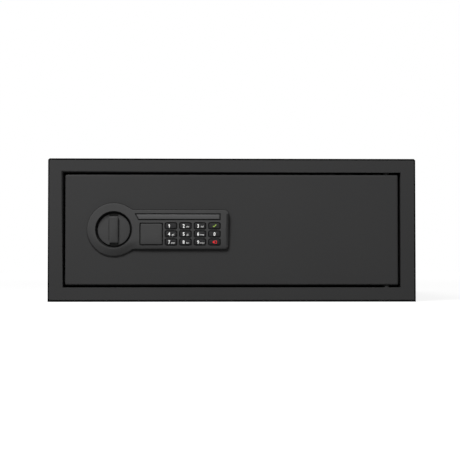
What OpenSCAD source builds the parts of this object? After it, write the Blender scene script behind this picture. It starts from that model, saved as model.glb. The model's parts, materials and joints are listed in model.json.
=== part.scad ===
// Low wide electronic safe: steel case, door hinged on the right, keyhole-shaped
// lock plate with a turn knob, a keypad of twelve keys and a badge cover.
// Origin: bottom centre of the whole safe. +X right, +Y to the back, +Z up.

/* [Case] */
// Overall width of the case
body_w = 457; // [440:1:560]
// Overall height of the case
body_h = 178; // [176:1:230]
// Depth of the case, from the frame's face to the back
body_d = 400; // [330:1:480]
// Thickness of the case's sheet steel
sheet_t = 1.2; // [1:0.1:2]
// Outside radius of the bends along the roof
bend_r = 2.5; // [2.5:0.5:5]

/* [Face frame] */
// Thickness of the face frame
frame_t = 2.5; // [2:0.5:4]
// Thickness of the backing that joins the frame to the case
frame_back_t = 1.5; // [1:0.5:3]
// Seam between the frame and the roof's edge
seam_top = 0.7; // [0.5:0.1:1.5]
// Seam between the frame and the floor's edge
seam_bottom = 1.2; // [0.5:0.1:1.5]
// Seam between the frame and the case's edge, at the sides
seam_x = 0.5; // [0.3:0.1:1.5]
// Width of the frame beside the door
frame_side = 18.4; // [17:0.2:24]
// Width of the frame above the door
frame_top = 17; // [15:0.2:22]
// Width of the frame below the door
frame_bottom = 17.8; // [15:0.2:22]
// Depth of the return lip round the opening
lip_d = 14; // [12:1:18]
// Thickness of the return lip
lip_t = 2; // [1.5:0.5:3]

/* [Anchor holes] */
// Radius of the anchor holes
anchor_r = 5; // [4:0.5:7]
// Spacing of the floor anchors across the width
anchor_dx = 300; // [200:10:340]
// Spacing of the floor anchors along the depth
anchor_dy = 200; // [120:10:220]
// Spacing of the two back anchors
back_anchor_dx = 250; // [150:10:320]
// Height of the back anchors
back_anchor_z = 89; // [60:1:110]

/* [Door] */
// Gap between the door and the frame
door_gap = 2.6; // [2:0.1:3.5]
// How far the door's face sits behind the frame's face
door_recess = 2; // [1.5:0.5:3]
// Thickness of the door's face plate
door_t = 3; // [2.5:0.5:4]
// Depth of the door's bent edges
return_d = 13; // [11:1:14]
// Thickness of the door's bent edges
return_t = 2; // [1.5:0.5:2.5]
// Distance from the door's right edge to the hinge axis
hinge_inset = 14.5; // [13:0.5:16]
// Depth of the hinge axis behind the door's face
hinge_back = 6; // [5:0.5:7]
// Radius of the hinge pins
pin_r = 2.5; // [2:0.25:3]
// Radius of the shoulder on the hinge pins, seen in the gap
collar_r = 3.75; // [3.5:0.25:4.5]
// How deep the hinge pins reach into the door
pin_reach = 9; // [7:1:14]

/* [Lock plate] */
// Height of the lock plate off the door
plate_t = 6; // [5.5:0.5:8]
// Thickness of the lock plate's front wall
wall_t = 2.5; // [2:0.25:3]
// Radius of the round end
ring_r = 33.5; // [32:0.5:36]
// Radius of the well at the plate's face
well_r = 22.9; // [22.3:0.1:23.5]
// How much the well narrows to its floor
well_taper = 1.9; // [1:0.1:2]
// Depth of the well
well_d = 9; // [8:0.5:10]
// How much the well flares out at the plate's face
well_flare = 2.1; // [1:0.1:2.5]
// Depth of the flare
flare_d = 2.4; // [1:0.1:3]
// Height of the arm
arm_h = 50; // [49:0.5:54]
// Width of the plate beyond the last column of keys
arm_end = 11.25; // [10:0.25:20]
// Corner radius of the arm
arm_r = 5.5; // [3:0.5:8]
// Angle at which the round end runs into the arm
neck_angle = 60; // [55:1:66]
// Distance from the door's left edge to the knob's axis
lock_inset = 60.6; // [60:0.2:66]
// Radius of the studs on the lock plate's back
stud_r = 2; // [1.5:0.25:2.5]

/* [Knob] */
// Radius of the knob's disc
disc_r = 20; // [19.5:0.1:20.6]
// How far the disc's face is sunk below the plate
disc_sunk = 3.5; // [3:0.25:4]
// Width of the grip bar
bar_w = 10.9; // [9:0.1:13]
// Length of the grip bar
bar_l = 33; // [30:0.5:35]
// How far the grip bar stands proud of the plate
bar_proud = 0.6; // [0:0.1:2]
// Radius of the knob's shaft
shaft_r = 4; // [3.5:0.25:4.5]

/* [Keypad] */
// Width of a key
key_w = 13.4; // [12.8:0.1:14]
// Height of a key
key_h = 6.7; // [6:0.1:7]
// Spacing of the columns
key_dx = 17.95; // [17.7:0.05:18.3]
// Spacing of the rows
key_dz = 10; // [9.9:0.05:10.4]
// Corner radius of a key
key_r = 1.4; // [1:0.1:2]
// Gap round a key
key_gap = 1.1; // [0.5:0.1:1.2]
// How far a key stands proud of the plate
key_proud = 0.9; // [0.5:0.1:1.5]
// Travel of a key
key_travel = 0.7; // [0.4:0.1:0.8]
// Width of the bar between the badge and the keys
key_bar = 2.35; // [2.25:0.05:4]
// Height of the middle row against the knob's axis
panel_z = -5.4; // [-6:0.1:-5]

/* [Badge and strip] */
// Width of the badge cover's recess
badge_w = 28.7; // [26:0.1:29]
// Height of the badge cover's recess
badge_h = 27.7; // [26:0.1:29]
// Distance from the knob's axis to the badge's middle
badge_x = 46.4; // [45:0.1:47]
// Thickness of the badge cover
badge_t = 1.6; // [1.2:0.1:1.8]
// Gap round the badge cover
badge_gap = 1.1; // [0.4:0.1:1.2]
// Height of the indicator strip's recess
strip_h = 7.7; // [6:0.1:8]
// Height of the strip's middle against the knob's axis
strip_z = 16; // [15.6:0.1:17]
// Left end of the strip, from the knob's axis
strip_x0 = 26.4; // [26:0.2:34]
// How far the strip's recess runs past the last column of keys
strip_past = 0.5; // [0:0.1:1]
// How far the strip's left end slants
strip_slant = 4.1; // [2:0.1:6]
// Thickness of the strip
strip_t = 1.1; // [0.8:0.1:1.3]

/* [Bolt work] */
// Radius of the bolts
bolt_r = 6; // [5:0.5:7]
// Spacing of the two bolts
bolt_dz = 60; // [54:1:64]
// Throw radius of the cam pin
crank_r = 10; // [8:0.5:11]
// Radius of the cam pin
crank_pin_r = 3; // [2.5:0.25:3.5]
// Thickness of the bolt carriage
carriage_t = 3; // [2.5:0.5:4]
// Depth of the lock bracket's plate behind the door's face
bracket_y = 11; // [11:0.5:12]
// Thickness of the lock bracket
bracket_t = 2; // [1.5:0.5:2.5]
// Radius of the solenoid's plunger
plunger_r = 2.5; // [2:0.25:3]
// Lift of the plunger
plunger_lift = 2.5; // [1.5:0.25:3]
// Radius of the override key cylinder
cylinder_r = 8; // [7:0.5:8.5]
// Radius of the override plug
plug_r = 5.5; // [5:0.25:6]

/* [Inner cover] */
// Distance from the reset button to the right end of the inner cover
cover_end = 18; // [16:1:60]
// Gap between the inner cover's flange and the door's bent edges
cover_gap = 2; // [1:0.5:4]
// Width of the inner cover's flange
cover_tab = 9; // [8:0.5:11]
// Depth of the inner cover behind the door's plate
cover_d = 35; // [33:1:45]
// Wall of the inner cover
cover_t = 2; // [1.5:0.5:3]
// Radius of a battery cell
cell_r = 7.1; // [6.9:0.05:7.25]
// Length of a battery cell
cell_l = 50; // [49:0.5:51]
// Travel of the reset button
reset_travel = 1.2; // [0.8:0.1:1.5]

/* [Mat] */
// Thickness of the floor mat
mat_t = 3; // [2:0.5:5]
// Gap between the mat and the walls
mat_gap = 2; // [1:0.5:4]

/* [Hidden] */

// Clearances
run_fit = 0.05;
held_fit = 0.02;
slide_gap = 0.3;

$fn = 48;

// Case
lock_proud = plate_t + max(key_proud, bar_proud) - door_recess;
front_y = -(body_d - lock_proud) / 2;
back_y = front_y + body_d;
open_w = body_w - 2 * frame_side;
open_z0 = frame_bottom;
open_z1 = body_h - frame_top;
open_h = open_z1 - open_z0;
inner_w = body_w - 2 * sheet_t;
inner_r = max(bend_r - sheet_t, 0.2);
frame_back_y = front_y + frame_t + frame_back_t;

// Door
door_w = open_w - 2 * door_gap;
door_h = open_h - 2 * door_gap;
door_y = front_y + door_recess;
door_z0 = open_z0 + door_gap;
door_z1 = door_z0 + door_h;
door_z = door_z0 + door_h / 2;
hinge_x = door_w / 2 - hinge_inset;
hinge_y = door_y + hinge_back;
collar_h = door_gap - slide_gap;
block_size = 2 * (return_d - hinge_back - run_fit);

// Lock
lock_x = -door_w / 2 + lock_inset;
lock_z = door_z;
well_floor = well_d - plate_t;
well_wall = 2;
nut_h = 3.2;
nut_r = stud_r + 2;
cup_r = well_r + 1.6;
key_rows = 3;
key_cols = 4;
cup_hole_r = cup_r + slide_gap;
stud_ring_r = (cup_hole_r + ring_r) / 2;
key_x0 = badge_x + badge_w / 2 + key_bar + key_gap + key_w / 2;
keys_x1 = key_x0 + (key_cols - 1) * key_dx + key_w / 2;
arm_reach = keys_x1 + arm_end;
strip_x1 = keys_x1 + strip_past;
arm_stud_x = arm_reach - 4.2;
arm_stud_z = arm_h / 2 - 11;
flange = 0.5;
pocket_x0 = key_x0 - key_w / 2 - key_gap - 1.05;
pocket_x1 = keys_x1 + key_gap + 1.45;
pocket_w = pocket_x1 - pocket_x0;
pocket_h = arm_h - 4.4;
board_gap = 0.6;
board_t = 1.6;
membrane_t = 1;

// Bolt work
bush_wall = 1.2;
bush_r = bolt_r + bush_wall;
bolt_y = max(lip_d - door_recess + bolt_r + 2, bracket_y + bracket_t + bush_r + slide_gap);
throw = 2 * crank_r * sin(45);
bolt_tip = -lock_inset + 1;
bolt_l = 34;
carriage_y0 = bolt_y - carriage_t / 2;
carriage_y1 = bolt_y + carriage_t / 2;
carriage_x0 = bolt_tip + bolt_l - 8;
carriage_half_h = bolt_dz / 2 + bolt_r;
slot_gap = 0.45;
cam_y = carriage_y1 + 0.6;
cam_t = 3;
cam_r = crank_r + crank_pin_r + 2;
guide_r = 3;
guide_z = bolt_dz / 2 - 7;
guide_x = 2;
arm_top = 10.5;
arm_tail_h = 6;
nose_z = arm_top + slide_gap;
collar_z = 13;
solenoid_z = 20;
solenoid_h = 22;
solenoid_w = 14;
solenoid_plate = 1.2;
solenoid_y0 = bracket_y + bracket_t;
lift_cam_y = carriage_y1 + 1.3;
lift_cam_t = 2;
lift_cam_r = collar_z - panel_z - slide_gap;
bracket_x0 = -lock_inset + 11.6;
bracket_x1 = badge_x + cylinder_r + 12;
bracket_stud_x = [bracket_x0 + 7, bracket_x1 - 7];
bracket_stud_z = bolt_dz / 2 + bolt_r + nut_r + slide_gap;
bracket_half_h = bracket_stud_z + nut_r + 0.5;
bracket_end = bolt_y + bolt_r + 3;

// Inner cover
cells = 4;
cell_pitch = 2 * cell_r + 1;
cell_gap = 4;
box_wall = 1.6;
bay_w = cell_l + 2 * cell_gap;
bay_h = cells * cell_pitch + 1;
bay_d = 2 * cell_r + 1.6;
bay_x = pocket_x0 + 15 + bay_w / 2;
lid_lap = 2;
lid_t = 1.8;
lid_pin_r = 1;
knuckle_r = 2;
reset_x = bay_x + bay_w / 2 + 15;
cover_x0 = -lock_inset + 8.6;
cover_x1 = reset_x + cover_end;
cover_w = cover_x1 - cover_x0;
cover_h = door_h - 2 * (return_t + cover_gap + cover_tab);
cover_y0 = door_t;
cover_y1 = door_t + cover_d;
cover_screw_x = [cover_x0 + 12, (cover_x0 + cover_x1) / 2, cover_x1 - 12];
cover_screw_z = cover_h / 2 + cover_tab / 2;
bay_z = cover_h / 2 - bay_h / 2 - lid_lap - 2 * knuckle_r - 7.1;
lid_axis_z = bay_z + bay_h / 2 + lid_lap + 2.3;
lid_axis_y = cover_y1 + 2.3;
reset_z = 20;
reset_r = 4;
control_x = bay_x;
control_z = -cover_h / 2 + 17;
control_w = 60;
control_h = 28;
control_y = door_t + 4;

// Outlines are drawn in (x, height) and pulled along the depth
module slab(from, to) {
    translate([0, to, 0])
        rotate([90, 0, 0])
            linear_extrude(height = to - from)
                children();
}

// A round bar along the depth
module rod(from, to, r) {
    translate([0, to, 0])
        rotate([90, 0, 0])
            cylinder(h = to - from, r = r);
}

// Places children against the knob's axis on the door's face
module on_door() {
    translate([lock_x, door_y, lock_z])
        children();
}

module at(x, z) {
    translate([x, 0, z])
        children();
}

module rounded_rect(w, h, r) {
    polygon([
        [w / 2 - r, h / 2], [r - w / 2, h / 2], [-w / 2, h / 2 - r], [-w / 2, r - h / 2],
        [r - w / 2, -h / 2], [w / 2 - r, -h / 2], [w / 2, r - h / 2], [w / 2, h / 2 - r]
    ]);
    for (sx = [-1, 1], sy = [-1, 1])
        translate([sx * (w / 2 - r), sy * (h / 2 - r)])
            circle(r);
}

// Case
module case_outline(side_inset, top_inset, low_inset, r) {
    w = body_w - 2 * side_inset;
    top = body_h - top_inset;
    translate([-w / 2, low_inset])
        square([w, top - low_inset - r]);
    translate([r - w / 2, low_inset])
        square([w - 2 * r, top - low_inset]);
    for (side = [-1, 1])
        translate([side * (w / 2 - r), top - r])
            circle(r);
}

module body_wrap() {
    color("#2b2b2c")
    slab(front_y, back_y)
        difference() {
            case_outline(0, 0, 0, bend_r);
            case_outline(sheet_t, sheet_t, sheet_t, inner_r);
            translate([-inner_w / 2, -1])
                square([inner_w, sheet_t + 2]);
        }
}

module floor_anchors(r) {
    for (sx = [-1, 1], sy = [-1, 1])
        translate([sx * anchor_dx / 2, sy * anchor_dy / 2, -1])
            cylinder(h = sheet_t + mat_t + 2, r = r);
}

module floor_plate() {
    color("#2b2b2c")
    difference() {
        translate([-inner_w / 2, front_y, 0])
            cube([inner_w, body_d, sheet_t]);
        floor_anchors(anchor_r);
    }
}

module back_panel() {
    color("#2b2b2c")
    difference() {
        slab(back_y - sheet_t, back_y)
            case_outline(sheet_t, sheet_t, sheet_t, inner_r + slide_gap);
        for (side = [-1, 1])
            translate([side * back_anchor_dx / 2, 0, back_anchor_z])
                rod(back_y - sheet_t - 1, back_y + 1, anchor_r);
    }
}

// Face frame, set in a seam's width from the case's edge and joined to it by a backing,
// with the return lip round the opening
module opening(extra) {
    translate([-open_w / 2 - extra, open_z0 - extra])
        square([open_w + 2 * extra, open_h + 2 * extra]);
}

module face_frame() {
    color("#2b2b2c")
    difference() {
        union() {
            slab(front_y, front_y + frame_t)
                case_outline(sheet_t + seam_x, sheet_t + seam_top, sheet_t + seam_bottom, inner_r);
            slab(front_y + frame_t, frame_back_y)
                case_outline(sheet_t, sheet_t, sheet_t, inner_r + slide_gap);
            slab(frame_back_y, front_y + lip_d)
                opening(lip_t);
        }
        slab(front_y - 1, front_y + lip_d + 1)
            opening(0);
        hinge_holes(pin_r + held_fit);
    }
}

module hinge_holes(r) {
    reach = lip_t + hinge_plate_t + 1;
    for (z = [open_z0, open_z1])
        translate([hinge_x, hinge_y, z - reach])
            cylinder(h = 2 * reach, r = r);
}

// Plates that carry the hinge pins behind the lip
hinge_plate_t = 4;
hinge_plate_w = 36;
module hinge_plates() {
    color("#2b2b2c")
    difference() {
        for (z = [open_z0 - lip_t - hinge_plate_t, open_z1 + lip_t])
            translate([hinge_x - hinge_plate_w / 2, frame_back_y, z])
                cube([hinge_plate_w, lip_d + 6, hinge_plate_t]);
        hinge_holes(pin_r + held_fit);
    }
}

module hinge_pin() {
    translate([0, 0, -lip_t - hinge_plate_t])
        cylinder(h = lip_t + hinge_plate_t + door_gap + pin_reach, r = pin_r);
    cylinder(h = collar_h, r = collar_r);
}

module hinge_pins() {
    color("#3a3a3b")
    translate([hinge_x, hinge_y, open_z0]) {
        hinge_pin();
        translate([0, 0, open_h])
            mirror([0, 0, 1])
                hinge_pin();
    }
}

// Keeper behind the lip on the latch side, with a window for each bolt
keeper_x = -open_w / 2 - 1;
keeper_t = 2;
keeper_d = 26;
keeper_h = door_h - 4;
keeper_window = 2 * bolt_r + 1.6;
pad_t = 1.6;
pad_reach = 6.4;
pad_h = 16;
pad_y = door_y + return_d + slide_gap;
module bolt_keeper() {
    color("#2b2b2c")
    difference() {
        union() {
            translate([keeper_x - keeper_t, front_y + lip_d, lock_z - keeper_h / 2])
                cube([keeper_t, keeper_d, keeper_h]);
            translate([-inner_w / 2, front_y + lip_d + keeper_d - keeper_t, lock_z - keeper_h / 2])
                cube([inner_w / 2 + keeper_x, keeper_t, keeper_h]);
            for (side = [-1, 1])
                translate([keeper_x - keeper_t, pad_y + pad_t, lock_z + side * (keeper_h - pad_h) / 2])
                    translate([0, 0, -pad_h / 2])
                        cube([keeper_t + pad_reach, keeper_t, pad_h]);
        }
        for (side = [-1, 1])
            translate([keeper_x - keeper_t / 2, door_y + bolt_y, lock_z + side * bolt_dz / 2])
                cube([keeper_t + 1, keeper_window, keeper_window], center = true);
    }
}

module stop_pads() {
    color("#151515")
    for (side = [-1, 1])
        translate([keeper_x + 1, pad_y, lock_z + side * (keeper_h - pad_h) / 2 - pad_h / 2 + 1])
            cube([pad_reach - 1, pad_t, pad_h - 2]);
}

module floor_mat() {
    mat_w = inner_w - 2 * mat_gap;
    mat_y0 = front_y + lip_d + keeper_d + mat_gap;
    color("#26272a")
    difference() {
        translate([-mat_w / 2, mat_y0, sheet_t])
            cube([mat_w, back_y - sheet_t - mat_gap - mat_y0, mat_t]);
        floor_anchors(2.4 * anchor_r);
    }
}

// Door
module door_panel() {
    color("#2e2e2f") {
        door_pan();
        on_door()
            at(control_x, control_z)
                board_screw_places()
                    difference() {
                        rod(door_t - 0.5, control_y, boss_r);
                        rod(door_t, control_y + 1, board_screw_r + held_fit);
                    }
    }
}

module door_pan() {
    difference() {
        translate([-door_w / 2, door_y, door_z0])
            cube([door_w, return_d, door_h]);
        translate([-door_w / 2 + return_t, door_y + door_t, door_z0 + return_t])
            cube([door_w - 2 * return_t, return_d, door_h - 2 * return_t]);
        hinge_bores();
        on_door() {
            rod(-1, door_t + 1, cup_hole_r);
            at(badge_x, panel_z)
                rod(-1, door_t + 1, cylinder_r + slide_gap);
            slab(-1, door_t + 1)
                pocket_outline(board_gap / 2);
            studs(-1, door_t + 1, stud_r + 0.2);
            cover_screw_places()
                rod(0.7, door_t + 1, 2 + held_fit);
        }
    }
}

// Bores in the door for the two hinge pins
module hinge_bores() {
    for (z = [door_z0, door_z1])
        translate([hinge_x, hinge_y, z - pin_reach - 1])
            cylinder(h = 2 * pin_reach + 2, r = pin_r + run_fit);
}

module hinge_blocks() {
    color("#2b2b2c")
    difference() {
        for (z = [door_z0 + return_t, door_z1 - return_t - 10])
            translate([hinge_x - block_size / 2, door_y + door_t, z])
                cube([block_size, return_d - door_t, 10]);
        hinge_bores();
    }
}

// Hat-shaped stiffener welded to the empty right half
stiff_h = 50;
stiff_d = 9;
module door_stiffener() {
    x0 = lock_x + cover_x1 + 16;
    x1 = hinge_x - 16;
    color("#2b2b2c")
    translate([x0, door_y + door_t, lock_z])
        rotate([90, 0, 90])
            linear_extrude(height = x1 - x0)
                polygon([
                    [0, -stiff_h / 2 - 12], [1.5, -stiff_h / 2 - 12], [1.5, -stiff_h / 2],
                    [stiff_d, -stiff_h / 2 + 6], [stiff_d, stiff_h / 2 - 6],
                    [1.5, stiff_h / 2], [1.5, stiff_h / 2 + 12], [0, stiff_h / 2 + 12],
                    [0, stiff_h / 2 - 1], [stiff_d - 1.5, stiff_h / 2 - 7],
                    [stiff_d - 1.5, -stiff_h / 2 + 7], [0, -stiff_h / 2 + 1]
                ]);
}

// Lock plate: round end, arm and the straight necks between them
module lock_outline(inset) {
    r = ring_r - inset;
    half = arm_h / 2 - inset;
    neck_x = r * cos(neck_angle);
    neck_z = r * sin(neck_angle);
    foot_x = neck_x + (neck_z - half) * tan(neck_angle);
    circle(r, $fn = 96);
    polygon([
        [0, 0], [neck_x, neck_z], [foot_x, half], [foot_x, -half], [neck_x, -neck_z]
    ]);
    translate([arm_reach / 2, 0])
        rounded_rect(arm_reach - 2 * inset, 2 * half, arm_r - inset);
}

module pocket_outline(inset) {
    translate([pocket_x0 + pocket_w / 2, 0])
        square([pocket_w - 2 * inset, pocket_h - 2 * inset], center = true);
}

module stud_places() {
    for (side = [-1, 1]) {
        at(-stud_ring_r * cos(60), side * stud_ring_r * sin(60))
            children();
        at(arm_stud_x, side * arm_stud_z)
            children();
    }
}

module studs(from, to, r) {
    stud_places()
        rod(from, to, r);
}

module key_places() {
    for (col = [0 : key_cols - 1], row = [0 : key_rows - 1])
        at(key_x0 + col * key_dx, panel_z + (1 - row) * key_dz)
            children();
}

module strip_outline(gap) {
    half = strip_h / 2 - gap;
    lean = strip_slant / strip_h;
    side = gap * sqrt(1 + lean * lean);
    polygon([
        [strip_x0 + side + gap * lean, strip_z + half],
        [strip_x1 - gap, strip_z + half],
        [strip_x1 - gap, strip_z - half],
        [strip_x0 + strip_slant + side - gap * lean, strip_z - half]
    ]);
}

edge_step = 0.8;
badge_floor = 1.2;
strip_gap = 1;
clip_w = 4;
clip_x = badge_w / 2 - 4;
module badge_clips(extra) {
    for (side = [-1, 1])
        at(badge_x + side * clip_x, panel_z)
            slab(-plate_t + badge_t, -plate_t + badge_t + 3.4 + extra)
                square([1.4 + 2 * extra, clip_w + 2 * extra], center = true);
}

module lock_plate() {
    color("#343435")
    on_door() {
        lock_plate_body();
        keypad_screw_places()
            difference() {
                rod(-plate_t + wall_t - 0.5, 0, boss_r);
                rod(-plate_t + wall_t, 1, board_screw_r + held_fit);
            }
    }
}

module lock_plate_body() {
    difference() {
        union() {
            slab(-plate_t + edge_step, 0)
                lock_outline(0);
            slab(-plate_t, -plate_t + edge_step)
                lock_outline(edge_step);
            rod(-1, well_floor + well_wall, cup_r);
            studs(-1, door_t + 5, stud_r);
        }
        translate([0, well_floor, 0])
            rotate([90, 0, 0])
                cylinder(h = well_d + 0.01, r1 = well_r - well_taper, r2 = well_r);
        translate([0, flare_d - plate_t, 0])
            rotate([90, 0, 0])
                cylinder(h = flare_d + 0.01, r1 = well_r, r2 = well_r + well_flare);
        rod(-1, well_floor + well_wall + 1, shaft_r + run_fit);
        // Keys, with the pocket for their flanges, the membrane and the board
        slab(-plate_t + wall_t, 1)
            pocket_outline(0);
        key_places()
            slab(-plate_t - 1, 0)
                rounded_rect(key_w + 2 * key_gap, key_h + 2 * key_gap, key_r + key_gap);
        // Badge recess, its clip slots and the window to the override plug
        at(badge_x, panel_z)
            slab(-plate_t - 1, -plate_t + badge_t + 0.2)
                rounded_rect(badge_w, badge_h, 1.2);
        at(badge_x, panel_z)
            rod(-plate_t - 1, 1, plug_r + 0.8);
        at(badge_x, panel_z)
            rod(-plate_t + badge_t + 0.2 + badge_floor, 1, cylinder_r + slide_gap);
        badge_clips(0.35);
        slab(-plate_t - 1, -plate_t + strip_t + 0.1)
            strip_outline(0);
    }
}

// Nuts of one size on the lock plate's studs and on the bracket's
module nut(from) {
    difference() {
        slab(from, from + nut_h)
            circle(nut_r, $fn = 6);
        rod(from - 1, from + nut_h + 1, stud_r + held_fit);
    }
}

module nuts() {
    color("#b9bbbd")
    on_door() {
        stud_places()
            nut(door_t);
        bracket_places()
            nut(bracket_y + bracket_t);
    }
}

module indicator_strip() {
    color("#4b4b4c")
    on_door()
        slab(-plate_t + 0.1, -plate_t + strip_t + 0.1)
            strip_outline(strip_gap);
}

// Keypad
module key(x, z) {
    top = -plate_t - key_proud;
    back = -plate_t + wall_t + 0.2;
    foot = -membrane_t - key_travel - 0.2;
    color("#161616")
    on_door()
        at(x, z) {
            slab(top, back)
                rounded_rect(key_w, key_h, key_r);
            slab(back, back + 0.9)
                rounded_rect(key_w + 2 * flange + 2 * key_gap, key_h + flange + 2 * key_gap, key_r);
            slab(back + 0.9, foot)
                rounded_rect(key_w * 0.4, key_h * 0.45, key_r * 0.4);
        }
}

module key_at(col, row) {
    key(key_x0 + col * key_dx, panel_z + (1 - row) * key_dz);
}

screw_z = strip_z + 1.4;
screw_x = [pocket_x0 + 4, pocket_x1 - 4];
board_screw_r = 1.25;
boss_r = 2.5;
module keypad_screw_places() {
    for (x = screw_x)
        at(x, screw_z)
            children();
}

module keypad_membrane() {
    color("#3b3b3d")
    on_door()
        difference() {
            slab(-membrane_t, 0)
                pocket_outline(board_gap);
            keypad_screw_places()
                rod(-2, 1, boss_r + slide_gap);
        }
}

module keypad_board() {
    color("#1d5a34")
    on_door()
        difference() {
            slab(0, board_t)
                pocket_outline(board_gap);
            keypad_screw_places()
                rod(-1, board_t + 1, board_screw_r + held_fit);
        }
}

// Lock bracket behind the door
module bracket_places() {
    for (x = bracket_stud_x, side = [-1, 1])
        at(x, side * bracket_stud_z)
            children();
}

module bolt_places() {
    for (side = [-1, 1])
        translate([0, bolt_y, side * bolt_dz / 2])
            children();
}

module guide_places() {
    for (side = [-1, 1])
        at(guide_x, side * guide_z)
            children();
}

module lock_bracket() {
    color("#8d9092")
    on_door()
    difference() {
        union() {
            slab(bracket_y, bracket_y + bracket_t)
                translate([bracket_x0, -bracket_half_h])
                    square([bracket_x1 - bracket_x0, 2 * bracket_half_h]);
            translate([bracket_x0, bracket_y, -bracket_half_h])
                cube([bracket_t, bracket_end - bracket_y, 2 * bracket_half_h]);
        }
        bolt_places()
            translate([bracket_x0 - 1, 0, 0])
                rotate([0, 90, 0])
                    cylinder(h = bracket_t + 2, r = bush_r + held_fit);
        rod(0, bracket_y + bracket_t + 1, shaft_r + bush_wall + held_fit);
        at(badge_x, panel_z)
            rod(0, bracket_y + bracket_t + 1, cylinder_r + slide_gap);
        bracket_places()
            rod(0, bracket_y + bracket_t + 1, stud_r + held_fit);
        guide_places()
            rod(0, bracket_y + bracket_t + 1, 2 + held_fit);
    }
}

// Weld studs whose shoulders hold the bracket off the door
module bracket_studs() {
    color("#9fa1a3")
    on_door()
        bracket_places() {
            rod(door_t, bracket_y, stud_r + 2);
            rod(bracket_y - 1, bracket_y + bracket_t + nut_h + 0.6, stud_r);
        }
}

module knob_bush() {
    color("#b08d4a")
    on_door()
        difference() {
            union() {
                rod(bracket_y - 1.5, bracket_y, shaft_r + 3);
                rod(bracket_y - 0.5, bracket_y + bracket_t + 1, shaft_r + bush_wall);
            }
            rod(0, bracket_y + bracket_t + 2, shaft_r + run_fit);
        }
}

module bolt_bushes() {
    color("#b08d4a")
    on_door()
        bolt_places()
            rotate([0, 90, 0])
                difference() {
                    union() {
                        translate([0, 0, bracket_x0 - 1])
                            cylinder(h = bracket_t + 2, r = bush_r);
                        translate([0, 0, bracket_x0 - 1])
                            cylinder(h = 1, r = bush_r + 1);
                    }
                    translate([0, 0, bracket_x0 - 2])
                        cylinder(h = bracket_t + 6, r = bolt_r + run_fit);
                }
}

guide_head_y = carriage_y1 + 0.25;
module guide_screws() {
    color("#b9bbbd")
    on_door()
        guide_places() {
            rod(bracket_y, bracket_y + bracket_t + 1, 2);
            rod(bracket_y + bracket_t, guide_head_y + 0.5, guide_r);
            rod(guide_head_y, guide_head_y + 1.8, guide_r + 2.2);
        }
}

module guide_spacers() {
    color("#d8d3c4")
    on_door()
        guide_places()
            difference() {
                rod(bracket_y + bracket_t, carriage_y0 - 0.25, guide_r + 2.2);
                rod(bracket_y, carriage_y1, guide_r + held_fit);
            }
}

// Solenoid that holds the carriage until the code is right
module solenoid_frame() {
    depth = 2 * (bolt_y - solenoid_y0);
    color("#9fa1a3")
    on_door()
        translate([badge_x, 0, solenoid_z])
            difference() {
                translate([-solenoid_w / 2, solenoid_y0, 0])
                    cube([solenoid_w, depth, solenoid_h]);
                translate([-solenoid_w / 2 + solenoid_plate, solenoid_y0 - 1, solenoid_plate])
                    cube([solenoid_w, depth + 2, solenoid_h - 2 * solenoid_plate]);
                translate([0, bolt_y, -1])
                    cylinder(h = solenoid_h + 2, r = plunger_r + run_fit);
            }
}

coil_r = min(bolt_y - solenoid_y0, solenoid_w / 2 - solenoid_plate) - 0.3;
module solenoid_coil() {
    color("#7a3b1e")
    on_door()
        translate([badge_x, bolt_y, solenoid_z + solenoid_plate])
            difference() {
                cylinder(h = solenoid_h - 2 * solenoid_plate, r = coil_r);
                translate([0, 0, -1])
                    cylinder(h = solenoid_h, r = plunger_r + run_fit);
            }
}

module solenoid_plunger() {
    color("#c3c5c7")
    on_door()
        translate([badge_x, bolt_y, 0]) {
            translate([0, 0, nose_z])
                cylinder(h = solenoid_z + solenoid_h - 4 - nose_z, r = plunger_r);
            translate([0, 0, collar_z])
                cylinder(h = 1.5, r = plunger_r + 2);
        }
}

// Return spring: one round wire wound by a formula, closed flat by its end rings
spring_wire = 0.3;
spring_turns = 3.5;
spring_sides = 6;
spring_steps = 24;
spring_r = plunger_r + 0.9;
spring_z0 = collar_z + 1.5 + spring_wire;
spring_z1 = solenoid_z - spring_wire;
spring_pitch = (spring_z1 - spring_z0) / spring_turns;
spring_gap = spring_pitch - 2 * spring_wire;
echo(spring_gap = spring_gap);
module plunger_spring() {
    rings = round(spring_turns * spring_steps);
    points = [
        for (i = [0 : rings], k = [0 : spring_sides - 1])
            let (
                turn = 360 * i / spring_steps,
                side = 360 * k / spring_sides,
                r = spring_r + spring_wire * cos(side),
                z = spring_z0 + (spring_z1 - spring_z0) * i / rings + spring_wire * sin(side)
            )
            [r * cos(turn), r * sin(turn), z]
    ];
    color("#c3c5c7")
    on_door()
        translate([badge_x, bolt_y, 0])
            polyhedron(points, tube_faces(rings + 1, spring_sides), convexity = 6);
}

// Faces of a tube given as rings of points, with flat ends
function tube_faces(rings, sides) = concat(
    [for (i = [0 : rings - 2], k = [0 : sides - 1])
        [i * sides + k, i * sides + (k + 1) % sides, (i + 1) * sides + (k + 1) % sides]],
    [for (i = [0 : rings - 2], k = [0 : sides - 1])
        [i * sides + k, (i + 1) * sides + (k + 1) % sides, (i + 1) * sides + k]],
    [[for (k = [sides - 1 : -1 : 0]) k]],
    [[for (k = [0 : sides - 1]) (rings - 1) * sides + k]]
);

// Override lock behind the badge
plug_face = -plate_t + badge_t + 0.2 + badge_floor + 0.2;
cylinder_end = bracket_y + bracket_t + 3;
module override_cylinder() {
    color("#b9bbbd")
    on_door()
        at(badge_x, panel_z)
            difference() {
                rod(plug_face, cylinder_end, cylinder_r);
                rod(plug_face - 1, cylinder_end + 1, plug_r + run_fit);
            }
}

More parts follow.
